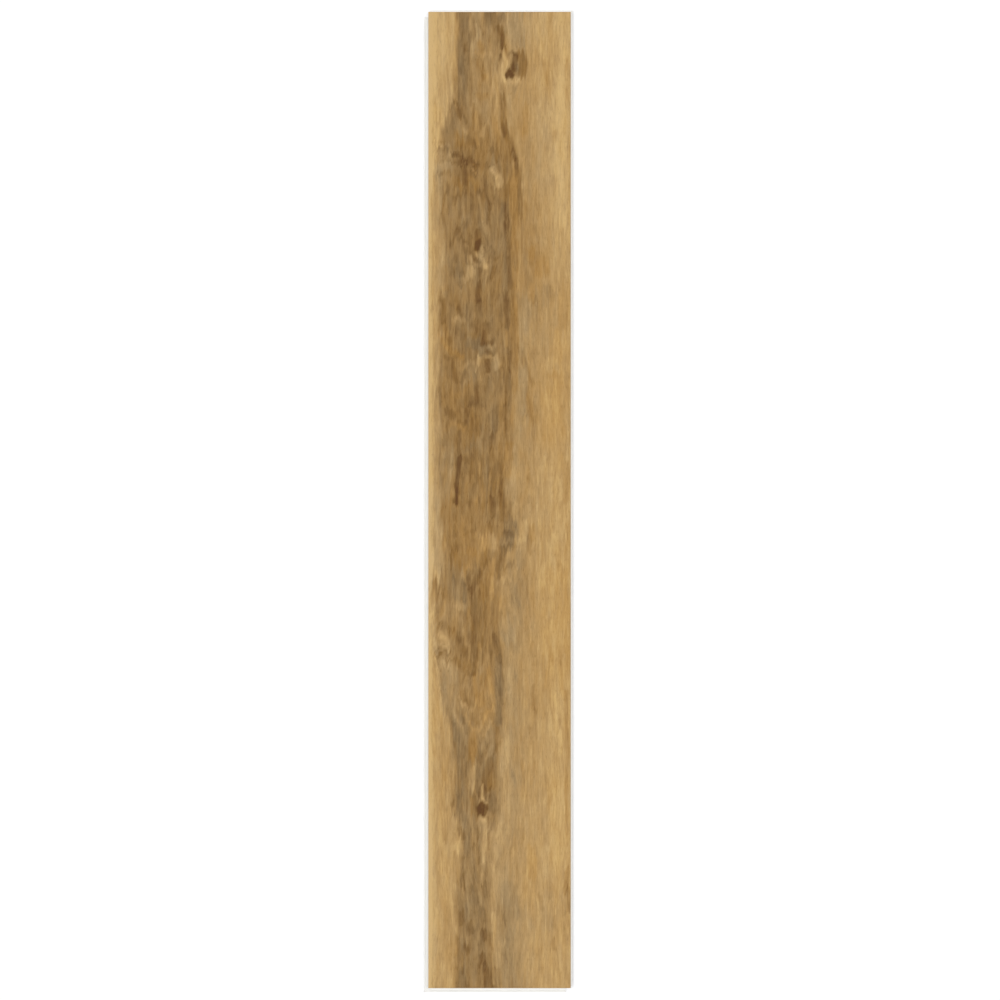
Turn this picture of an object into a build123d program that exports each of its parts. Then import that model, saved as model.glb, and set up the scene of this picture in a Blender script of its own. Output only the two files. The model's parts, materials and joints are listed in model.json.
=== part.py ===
# Rigid core vinyl floor plank: one stiff sheet, milled on all four sides with a click-lock
# joint. The groove and its lower lip are on the -X side and the -Y end, the tongue is on
# the +X side and the +Y end, so that planks lock side to side and end to end.
# Frame: millimetres, +Z up, the plank lies flat on its underside. The origin is on the
# underside, below the middle of the face. The plank's length runs along Y.

import os
from math import radians, sin, tan

from build123d import *

# Face and body
face_width = 177.8  # the covering width, 7 inches
face_length = 1219.2  # the covering length, 48 inches
thickness = 5.0
face_bevel = 0.4  # leg of the bevel round the face

# Groove side of the joint
upper_lip = 1.9  # material left above the groove
groove_depth = 2.4  # from the face's edge in to the groove's bottom
groove_round = 0.5  # radius in the groove's bottom corners
lip_reach = 5.6  # from the face's edge out to the lower lip's end
lip_web = 1.3  # the lower lip's thickness between groove and ridge
ridge_height = 0.7  # the locking ridge above the web
ridge_width = 1.3  # the ridge's flat top
ridge_round = 0.2  # radius at the top of the ridge's locking flank
lock_angle = 55.0  # the locking flank's slope above the horizontal, in degrees
lip_chamfer = 0.5  # lead-in on the lower lip's upper outer corner

# Fit of the tongue side into a neighbour's groove side
clearance = 0.05  # between faces that meet
nose_gap = 0.25  # between the tongue's nose and the groove's bottom
lip_gap = 0.3  # between the lower lip's end and the shoulder behind it
nose_round_top = 0.4  # radius on the tongue's upper corner
nose_round_bottom = 0.7  # radius on its lower corner, which leads the tongue in

# Stock that the cutters take off outside the tongue and the lower lip
mill_allowance = 1.0

# Levels above the underside
groove_roof = thickness - upper_lip
ridge_top = lip_web + ridge_height
tongue_top = groove_roof - clearance
tongue_bottom = lip_web + clearance
lock_roof = ridge_top + clearance

# Distances out from the face's edge
tongue_reach = groove_depth - nose_gap
shoulder = lip_reach + lip_gap
flank_top = lip_reach - lip_chamfer - ridge_width
flank_shift = clearance / sin(radians(lock_angle))

# A corner's radius takes at most this share of the walls that meet there
corner_share = 0.45
groove_corner = min(groove_round, corner_share * (groove_roof - lip_web))
ridge_corner = min(ridge_round, corner_share * ridge_width, corner_share * ridge_height)
nose_wall = corner_share * (tongue_top - tongue_bottom)
nose_top_corner = min(nose_round_top, nose_wall)
nose_bottom_corner = min(nose_round_bottom, nose_wall)

# The blank, before it is milled
tongue_stock = tongue_reach + mill_allowance
lip_stock = lip_reach + mill_allowance
blank_width = face_width + tongue_stock + lip_stock
blank_length = face_length + tongue_stock + lip_stock
blank_shift = (tongue_stock - lip_stock) / 2


def flank(level):
    """How far out the ridge's locking flank is at a level above the underside."""
    return flank_top - (ridge_top - level) / tan(radians(lock_angle))


def heel(level):
    """How far in from its own face edge the tongue side's locking flank is at a level."""
    return flank(level) - flank_shift


def edge_plane(outward, half_face):
    """The section plane at a face edge: local x points out of the plank and local y up."""
    up = Vector(0, 0, 1)
    return Plane(origin=outward * half_face, x_dir=outward, z_dir=outward.cross(up))


# What each cutter removes, as (distance out from the face's edge, level)
groove_roof_corner = (-groove_depth, groove_roof)
groove_floor_corner = (-groove_depth, lip_web)
flank_top_corner = (flank_top, ridge_top)
groove_cut = [
    (0, thickness),
    (0, groove_roof),
    groove_roof_corner,
    groove_floor_corner,
    (flank(lip_web), lip_web),
    flank_top_corner,
    (flank_top + ridge_width, ridge_top),
    (lip_reach, ridge_top - lip_chamfer),
    (lip_reach, 0),
    (lip_stock, 0),
    (lip_stock, thickness),
]

nose_top = (tongue_reach, tongue_top)
nose_bottom = (tongue_reach, tongue_bottom)
tongue_cut = [
    (0, thickness),
    (0, tongue_top),
    nose_top,
    nose_bottom,
    (-heel(tongue_bottom), tongue_bottom),
    (-heel(lock_roof), lock_roof),
    (-shoulder, lock_roof),
    (-shoulder, 0),
    (tongue_stock, 0),
    (tongue_stock, thickness),
]

# Each cutter with the corners that it rounds, as (corner, radius)
groove_rounds = [
    (groove_roof_corner, groove_corner),
    (groove_floor_corner, groove_corner),
    (flank_top_corner, ridge_corner),
]
tongue_rounds = [
    (nose_top, nose_top_corner),
    (nose_bottom, nose_bottom_corner),
]

# The long sides are milled first, then the ends, across the whole width
half_width = face_width / 2
half_length = face_length / 2
passes = [
    (edge_plane(Vector(-1, 0, 0), half_width), groove_cut, groove_rounds, blank_length),
    (edge_plane(Vector(1, 0, 0), half_width), tongue_cut, tongue_rounds, blank_length),
    (edge_plane(Vector(0, -1, 0), half_length), groove_cut, groove_rounds, blank_width),
    (edge_plane(Vector(0, 1, 0), half_length), tongue_cut, tongue_rounds, blank_width),
]

with BuildPart() as plank:
    with BuildSketch(Plane.XY):
        with Locations((blank_shift, blank_shift)):
            Rectangle(blank_width, blank_length)
    extrude(amount=thickness)

    for plane, outline, rounds, run in passes:
        with BuildSketch(plane) as cutter:
            with BuildLine():
                Polyline(*outline, close=True)
            make_face()
            for corner, radius in rounds:
                fillet(cutter.vertices().sort_by_distance(corner)[0], radius)
        extrude(amount=run, both=True, mode=Mode.SUBTRACT)

    # Where a tongue crosses a lip, the two passes mill a chip loose, and it falls away
    chips = plank.solids().sort_by(SortBy.VOLUME)[:-1]
    add(chips, mode=Mode.SUBTRACT)

    face_edges = plank.faces().sort_by(Axis.Z)[-1].edges()
    chamfer(face_edges, face_bevel)

plank.part.label = "plank"
os.makedirs("parts", exist_ok=True)
export_step(plank.part, "parts/plank.step")
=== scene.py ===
import json
from math import radians

import bpy
import numpy as np
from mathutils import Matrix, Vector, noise

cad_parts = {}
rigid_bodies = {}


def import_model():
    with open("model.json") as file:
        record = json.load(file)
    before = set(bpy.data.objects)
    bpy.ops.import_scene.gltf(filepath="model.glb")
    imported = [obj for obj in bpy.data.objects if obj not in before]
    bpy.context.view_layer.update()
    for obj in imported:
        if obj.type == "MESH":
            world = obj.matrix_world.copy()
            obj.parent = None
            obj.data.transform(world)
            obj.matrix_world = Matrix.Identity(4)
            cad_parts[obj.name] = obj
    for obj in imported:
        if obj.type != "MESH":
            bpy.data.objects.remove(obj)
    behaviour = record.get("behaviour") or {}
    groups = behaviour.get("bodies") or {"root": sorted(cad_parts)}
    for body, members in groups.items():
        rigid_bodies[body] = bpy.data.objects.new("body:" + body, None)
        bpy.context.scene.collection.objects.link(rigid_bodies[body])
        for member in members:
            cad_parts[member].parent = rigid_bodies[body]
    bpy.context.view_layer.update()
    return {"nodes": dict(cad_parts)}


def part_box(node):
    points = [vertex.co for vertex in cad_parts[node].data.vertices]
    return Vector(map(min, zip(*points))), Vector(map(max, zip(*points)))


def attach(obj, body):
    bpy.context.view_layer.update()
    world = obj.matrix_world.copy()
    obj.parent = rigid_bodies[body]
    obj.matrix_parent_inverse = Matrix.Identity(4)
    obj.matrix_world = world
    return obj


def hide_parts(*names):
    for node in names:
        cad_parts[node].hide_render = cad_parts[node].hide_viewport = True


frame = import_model()
print("frame loaded:", sorted(frame["nodes"]))

millimetre = 0.001


# Selecting, as by hand

def selectOnly(piece):
    if bpy.context.mode != "OBJECT":
        bpy.ops.object.mode_set(mode="OBJECT")
    bpy.ops.object.select_all(action="DESELECT")
    piece.select_set(True)
    bpy.context.view_layer.objects.active = piece


def editWith(piece, selectMode):
    selectOnly(piece)
    bpy.ops.object.mode_set(mode="EDIT")
    bpy.ops.mesh.select_mode(type=selectMode)
    bpy.ops.mesh.select_all(action="DESELECT")


def selectEdges(piece, wanted):
    # flags are set in object mode, and edit mode takes them over
    editWith(piece, "EDGE")
    bpy.ops.object.mode_set(mode="OBJECT")
    points = piece.data.vertices
    for edge in piece.data.edges:
        start, end = (points[i].co for i in edge.vertices)
        edge.select = wanted(start, end)
    bpy.ops.object.mode_set(mode="EDIT")


def selectFaces(piece, wanted):
    editWith(piece, "FACE")
    bpy.ops.object.mode_set(mode="OBJECT")
    for polygon in piece.data.polygons:
        polygon.select = wanted(polygon)
    bpy.ops.object.mode_set(mode="EDIT")


# The plank's body: a merged copy of the CAD solid, with its face cut into a fine net

plank = {
    "node": "plank",
    "piece": "embossed_plank",
    "faceBevel": 0.4,      # mm, from the face's flat to its outer edge
    "netAlong": (60, 8),   # the face is cut into this many strips, and each strip again
    "netAcross": (30, 6),
    "reliefDepth": 0.16,   # mm, deepest grain below the face
    "reliefTone": 0.95,    # wood paler than this isn't pressed in
    "grooves": [(0.16, 2.4, 26, 11.5)],  # a layer of noise, as in the figure
    "plainEdge": 2.5,      # mm, the relief fades out towards the bevel
    "mergeGap": 0.001,     # mm
    "levelGap": 0.02,      # mm, what still counts as level with the face
    "flatAngle": 0.05,     # degrees, the CAD triangles of one flat are joined
    "smoothAngle": 28,     # degrees
}

cadMesh = frame["nodes"][plank["node"]].data
lowCorner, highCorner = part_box(plank["node"])
topLevel = highCorner.z
nearTop = plank["levelGap"] * millimetre


def onTop(point):
    return point.z > topLevel - nearTop


flatX = [v.co.x for v in cadMesh.vertices if onTop(v.co)]
flatY = [v.co.y for v in cadMesh.vertices if onTop(v.co)]
bevel = plank["faceBevel"] * millimetre
face = {
    "left": min(flatX) - bevel,
    "far": max(flatY) + bevel,
    "width": (max(flatX) - min(flatX) + 2 * bevel) / millimetre,
    "length": (max(flatY) - min(flatY) + 2 * bevel) / millimetre,
}
print("face, mm:", round(face["width"], 1), "by", round(face["length"], 1))


def runsAlong(start, end):
    return onTop(start) and onTop(end) and abs(start.x - end.x) < nearTop


def runsAcross(start, end):
    return onTop(start) and onTop(end) and abs(start.y - end.y) < nearTop


def makeBody():
    piece = bpy.data.objects.new(plank["piece"], cadMesh.copy())
    bpy.context.scene.collection.objects.link(piece)
    piece.data.materials.clear()
    editWith(piece, "VERT")
    bpy.ops.mesh.select_all(action="SELECT")
    bpy.ops.mesh.remove_doubles(threshold=plank["mergeGap"] * millimetre)
    bpy.ops.mesh.dissolve_limited(angle_limit=radians(plank["flatAngle"]))
    for direction, rounds in ((runsAlong, plank["netAlong"]), (runsAcross, plank["netAcross"])):
        for strips in rounds:
            selectEdges(piece, direction)
            bpy.ops.mesh.subdivide(number_cuts=strips - 1)
    bpy.ops.object.mode_set(mode="OBJECT")
    print("body:", len(piece.data.polygons), "faces")
    return piece


# The wood figure is drawn on the net in millimetres: across from the left edge, along from
# the far end. Tones run from 0, darkest, to 1, palest, and warmth from -1, grey, to 1, honey.
# Print and relief both read it, so that they stay in register.

figure = {
    "overhang": (0.5, 0.6),  # mm, the figure starts this far outside the far left corner
    "sapLeft": 0.84,
    "sapRight": 0.815,
    "shoulder": 0.69,        # the half-dark wood to the right of the heartwood
    "leftSoft": 3.5,         # mm, how softly each edge ends
    "rightSoft": 6.0,
    "shoulderSoft": 14.0,
    "patchFade": 0.3,        # share of the half width that fades, to either side of it
    "patchCorners": 4,       # 2 makes a patch an ellipse, more squares it off
    "strokeFade": 0.4,
    "strokeRag": 0.35,       # share of the fibres' raggedness in the strokes
    "strokeGain": 1.06,      # how strongly strokes change the tone
    "toneRange": (0.03, 1.05),
    "warmth": 0.08,          # before patches and strokes
    "warmGain": 0.87,        # how strongly these change it
    "sapGrain": 0.7,         # share of the grain that the sapwood shows
    # layers of noise: amount, width and length of a blotch in mm, seed
    "sway": [(2.5, 45, 200, 1.5)],
    "ragged": [(6.0, 2.2, 240, 2.5)],
    "wander": [(0.8, 6, 24, 3.5)],
    "warmBlotches": [(0.08, 14, 80, 4.5), (0.15, 5, 22, 9.5)],
    "grain": [(0.016, 8, 190, 5.5), (0.016, 3, 60, 6.5), (0.02, 3.2, 11, 7.5), (0.01, 15, 34, 8.5)],
    "fibres": [(0.045, 1, 22, 10.5)],
    "fibreWidth": 2.4,       # mm
    "fibreStep": 7.3,        # between neighbouring fibres in the noise, so that they differ
}

# the heartwood's tone down the plank, as (along, tone)
heartTones = [
    (0, 0.59), (110, 0.57), (150, 0.54), (200, 0.505), (300, 0.495), (400, 0.495), (500, 0.5),
    (560, 0.535), (620, 0.545), (690, 0.54), (760, 0.52), (800, 0.52), (850, 0.55), (900, 0.53),
    (940, 0.51), (1000, 0.52), (1100, 0.515), (1219, 0.49),
]

# edges of the heartwood and of its shoulder, as (along, across)
heartLeftEdge = [
    (0, 35), (45, 35), (80, 34), (109, 33), (115, 27), (127, 25), (138, 22), (148, 18), (162, 15),
    (178, 11), (205, 9), (215, 16), (260, 17), (290, 21), (345, 18), (355, 14), (480, 14),
    (520, 17), (560, 14), (640, 18), (694, 19), (712, 9), (745, 8), (755, 9), (800, 8), (812, 14),
    (845, 15), (870, 21), (890, 27), (925, 31), (945, 34), (1000, 31), (1012, 35), (1022, 40),
    (1060, 40), (1100, 34), (1150, 36), (1219, 34),
]
heartRightEdge = [
    (0, 97), (14, 97), (22, 94), (47, 97), (54, 92), (95, 92), (103, 97), (140, 98), (152, 103),
    (170, 107), (182, 114), (200, 116), (255, 118), (265, 110), (345, 108), (425, 106), (500, 102),
    (540, 104), (580, 99), (600, 97), (635, 103), (642, 106), (660, 107), (676, 104), (686, 94),
    (710, 90), (760, 88), (800, 92), (810, 94), (890, 94), (900, 90), (1000, 88), (1012, 86),
    (1030, 76), (1160, 78), (1219, 86),
]
shoulderEdge = [
    (0, 130), (50, 122), (100, 118), (150, 128), (200, 134), (260, 142), (345, 152), (400, 150),
    (450, 140), (520, 138), (600, 124), (700, 132), (820, 120), (900, 124), (1060, 116),
    (1219, 124),
]

# bulges that the fibres flow round: across, along, half width, half length, push
bulges = [
    (103, 72, 26, 60, 0.6), (80, 204, 20, 40, 0.5), (64, 298, 26, 60, 0.6), (75, 438, 22, 50, 0.6),
    (18, 788, 24, 50, 0.5), (68, 994, 22, 60, 0.6),
]

# patches of darker, paler, greyer or more golden wood:
# across, along, half width, half length, tone, warmth
patches = [
    # from the far end to the second knot
    (10, 60, 11, 80, 0.1, -0.4), (25, 60, 8, 70, 0.02, -0.1), (44, 50, 8, 64, -0.03, -0.4),
    (59, 22, 7, 28, 0.08, -0.5), (88, 95, 7, 26, 0.08, -0.2), (135, 16, 36, 20, 0.07, -0.4),
    (72, 60, 16, 60, 0.02, -0.5), (166, 130, 9, 70, 0.06, -0.2), (110, 24, 12, 24, 0, -0.5),
    (124, 90, 9, 34, -0.05, 0), (56, 172, 20, 26, -0.04, 0.6), (97, 190, 12, 50, 0.02, 0.5),
    (10, 184, 8, 34, 0.17, -0.5), (23, 330, 6, 34, 0.07, -0.3), (20, 95, 7, 26, -0.07, 0),
    (23, 190, 10, 22, 0.07, -0.5), (26, 215, 8, 60, 0.04, 0), (52, 230, 16, 30, -0.06, 0.6),
    (110, 230, 7, 32, 0.01, 0.2), (95, 270, 5, 44, 0, -0.2), (165, 225, 10, 50, 0.05, -0.2),
    (72, 288, 8, 46, 0.03, -0.6), (124, 300, 9, 62, -0.06, 0.4), (62, 268, 18, 12, -0.06, 0),
    (95, 292, 6, 16, 0.06, 0), (170, 285, 7, 34, 0.04, 0), (150, 236, 8, 14, 0.05, 0),
    (151, 305, 7, 20, -0.05, 0.2), (96, 14, 8, 16, 0, -0.35), (84, 205, 8, 26, 0, -0.3),
    (22, 325, 6, 22, 0, -0.3),
    (54, 326, 12, 20, 0, -0.4), (126, 376, 10, 26, 0.01, -0.4), (68, 418, 12, 8, 0, -0.7),
    (108, 420, 5, 76, -0.07, 0.7), (119, 455, 6, 70, 0.02, -0.5), (56, 440, 10, 24, 0.01, -0.5),
    (165, 420, 13, 74, -0.06, 0.2), (170, 372, 8, 30, -0.02, 0.5), (28, 475, 10, 30, -0.01, 0.5),
    (55, 505, 11, 40, -0.1, 0.7), (80, 490, 8, 34, -0.03, 0), (156, 500, 18, 44, -0.01, 0.6),
    (24, 575, 9, 34, 0.02, -0.5), (61, 575, 8, 26, -0.1, 0.6), (86, 580, 10, 32, -0.1, 0.6),
    (52, 385, 8, 14, -0.06, 0), (127, 364, 8, 10, -0.04, 0), (138, 492, 5, 9, -0.06, 0),
    (119, 507, 7, 9, -0.05, 0), (146, 550, 8, 10, -0.04, 0), (54, 480, 13, 28, 0, -0.4),
    (122, 485, 10, 30, 0, 0.3),
    # golden stretch and dark curve
    (48, 655, 26, 50, -0.02, 0.5), (3, 660, 4, 60, 0.12, -1), (13, 660, 6, 56, 0.04, -0.6),
    (84, 626, 9, 26, -0.03, 0.4), (104, 612, 9, 22, 0, -0.5), (103, 648, 10, 12, -0.12, -0.7),
    (99, 668, 8, 11, -0.08, -0.6), (76, 661, 10, 9, 0.08, 0.1), (34, 708, 14, 26, 0, -0.5),
    (69, 735, 8, 48, -0.05, 0.5), (95, 812, 6, 24, -0.07, 0), (108, 745, 11, 54, -0.03, -0.4),
    (160, 770, 18, 74, -0.02, 0.7), (14, 745, 9, 24, 0.1, -0.3), (17, 784, 12, 18, 0.11, -0.6),
    (143, 682, 8, 14, -0.06, 0.1), (166, 665, 10, 30, 0.03, 0), (34, 680, 9, 12, -0.05, 0),
    (32, 760, 12, 10, 0.05, 0), (21, 752, 7, 8, 0.04, 0), (7, 758, 5, 12, 0.06, 0),
    (15, 712, 12, 12, -0.05, 0), (165, 780, 12, 20, 0.05, 0), (166, 640, 10, 14, 0.05, 0),
    (72, 610, 6, 16, 0, 0.45), (34, 640, 7, 20, 0, -0.3),
    # ring tips and fourth knot
    (70, 850, 13, 46, 0.06, 0.3), (88, 846, 4.5, 46, -0.03, -0.5), (103, 850, 9, 80, 0.01, -0.5),
    (141, 850, 12, 40, -0.06, 0.3), (25, 845, 13, 36, 0.12, -0.5), (40, 905, 10, 30, 0.03, -0.5),
    (57, 915, 7, 22, 0.03, 0.6), (73, 912, 10, 26, 0.04, -0.4), (98, 965, 9, 56, 0.04, -0.5),
    (110, 985, 8, 44, 0, -0.6), (23, 930, 8, 60, -0.1, 0.3), (44, 990, 9, 26, 0.05, -0.5),
    (44, 848, 9, 16, 0.07, 0), (73, 912, 5, 9, 0.05, 0), (154, 970, 7, 16, -0.05, 0.1),
    (158, 915, 8, 40, 0.03, 0), (70, 985, 6, 8, 0.06, 0), (11, 458, 8, 16, 0.09, 0),
    (64, 958, 11, 22, 0, -0.35), (12, 888, 7, 16, 0, 0.3),
    # near end
    (90, 1062, 12, 56, 0.07, -0.5), (48, 1070, 8, 64, 0.07, -0.5), (62, 1080, 6, 40, 0.01, -0.2),
    (70, 1040, 6, 34, 0.09, -0.3), (60, 1140, 16, 50, 0, -0.4), (101, 1150, 16, 64, 0.01, -0.6),
    (124, 1165, 9, 44, 0, -0.5), (4, 1110, 6, 120, 0.08, -0.3), (25, 1155, 6, 40, -0.04, 0.1),
    (163, 1010, 11, 60, 0.09, 0.3), (158, 1015, 9, 110, 0, 0.3), (70, 1165, 7, 26, 0.04, 0),
    (42, 1160, 7, 18, 0.05, 0), (160, 1130, 16, 14, -0.05, 0), (92, 1135, 8, 22, -0.05, 0),
    (24, 1160, 6, 50, -0.04, 0),
    # greyer and more golden wood, all down the plank
    (110, 58, 10, 12, 0, -0.45), (109, 92, 10, 10, 0, -0.35), (91, 20, 6, 12, 0, -0.35),
    (46, 165, 14, 24, 0, -0.35), (26, 140, 8, 18, 0, -0.25), (50, 200, 14, 14, 0, -0.25),
    (33, 240, 9, 13, 0, -0.45), (59, 238, 8, 22, 0, -0.5), (82, 198, 8, 16, 0, -0.3),
    (105, 176, 6, 20, 0, -0.25), (36, 298, 8, 14, 0, -0.35), (163, 280, 9, 12, 0, -0.3),
    (146, 220, 8, 14, 0, -0.25), (130, 306, 12, 8, 0, -0.35), (82, 166, 8, 12, 0, 0.35),
    (70, 52, 10, 20, 0, 0.35), (76, 95, 14, 18, 0, 0.3), (118, 132, 8, 20, 0, 0.25),
    (92, 240, 5, 14, 0, 0.25), (64, 287, 6, 8, 0, 0.35), (135, 272, 7, 20, 0, 0.25),
    (38, 338, 10, 10, 0, -0.35), (110, 325, 16, 18, 0, -0.25), (153, 372, 9, 12, 0, -0.35),
    (147, 416, 6, 14, 0, -0.35), (160, 398, 6, 8, 0, -0.3), (86, 424, 7, 18, 0, -0.55),
    (84, 450, 8, 12, 0, -0.4), (108, 459, 6, 11, 0, -0.5), (20, 478, 7, 22, 0, -0.35),
    (62, 448, 10, 14, 0, -0.25), (85, 480, 7, 10, 0, -0.35), (56, 504, 6, 14, 0, -0.35),
    (70, 528, 7, 12, 0, -0.4), (60, 552, 7, 14, 0, -0.5), (66, 574, 10, 10, 0, -0.45),
    (98, 572, 12, 8, 0, -0.25), (84, 602, 7, 10, 0, -0.45), (44, 390, 6, 16, 0, -0.25),
    (20, 540, 6, 14, 0, -0.25), (137, 338, 9, 12, 0, 0.4), (84, 358, 6, 12, 0, 0.35),
    (79, 330, 5, 16, 0, 0.3), (20, 354, 6, 12, 0, 0.35), (116, 384, 8, 28, 0, 0.25),
    (22, 412, 8, 22, 0, 0.3), (40, 434, 14, 8, 0, 0.4), (129, 452, 8, 20, 0, 0.3),
    (102, 512, 12, 16, 0, 0.4), (40, 498, 7, 14, 0, 0.35), (145, 545, 8, 9, 0, 0.3),
    (162, 566, 9, 12, 0, 0.35), (18, 572, 7, 12, 0, 0.35), (40, 596, 10, 14, 0, 0.35),
    (20, 606, 6, 10, 0, 0.35), (130, 588, 10, 10, 0, 0.25), (158, 512, 10, 10, 0, 0.25),
    (120, 624, 8, 16, 0, -0.35), (85, 622, 7, 12, 0, -0.3), (50, 622, 8, 14, 0, -0.25),
    (32, 668, 8, 8, 0, -0.3), (112, 664, 14, 8, 0, -0.3), (45, 702, 10, 6, 0, -0.45),
    (98, 704, 6, 6, 0, -0.3), (68, 750, 7, 12, 0, -0.35), (36, 744, 8, 16, 0, -0.25),
    (150, 747, 14, 5, 0, -0.3), (68, 836, 8, 10, 0, -0.45), (146, 832, 7, 14, 0, -0.35),
    (45, 868, 6, 14, 0, -0.3), (28, 895, 7, 12, 0, -0.25), (123, 888, 9, 18, 0, -0.3),
    (92, 892, 6, 16, 0, -0.25), (54, 914, 6, 14, 0, -0.4), (22, 624, 8, 18, 0, 0.4),
    (100, 624, 5, 14, 0, 0.35), (83, 690, 9, 12, 0, 0.4), (45, 684, 20, 6, 0, 0.3),
    (84, 748, 6, 22, 0, 0.4), (127, 742, 6, 18, 0, 0.35), (107, 734, 6, 14, 0, 0.25),
    (50, 764, 8, 12, 0, 0.35), (166, 762, 8, 10, 0, 0.35), (165, 695, 6, 24, 0, 0.25),
    (166, 840, 6, 16, 0, 0.35), (10, 876, 6, 26, 0, 0.3), (92, 856, 6, 10, 0, 0.3),
    (58, 862, 6, 8, 0, 0.3), (78, 882, 8, 8, 0, 0.25), (76, 945, 8, 14, 0, -0.3),
    (28, 974, 10, 10, 0, -0.25), (86, 986, 6, 12, 0, -0.3), (64, 1012, 10, 10, 0, -0.3),
    (38, 1050, 6, 10, 0, -0.25), (72, 1130, 8, 10, 0, -0.25), (46, 1150, 8, 14, 0, -0.25),
    (50, 1202, 12, 16, 0, -0.5), (79, 1206, 8, 12, 0, -0.45), (168, 1112, 6, 14, 0, -0.25),
    (140, 1148, 7, 12, 0, -0.3), (133, 948, 14, 10, 0, 0.3), (128, 1096, 7, 16, 0, 0.3),
    (148, 1180, 8, 22, 0, 0.25), (98, 1120, 10, 30, 0, 0.2), (158, 775, 18, 125, 0.015, 0),
]

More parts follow.
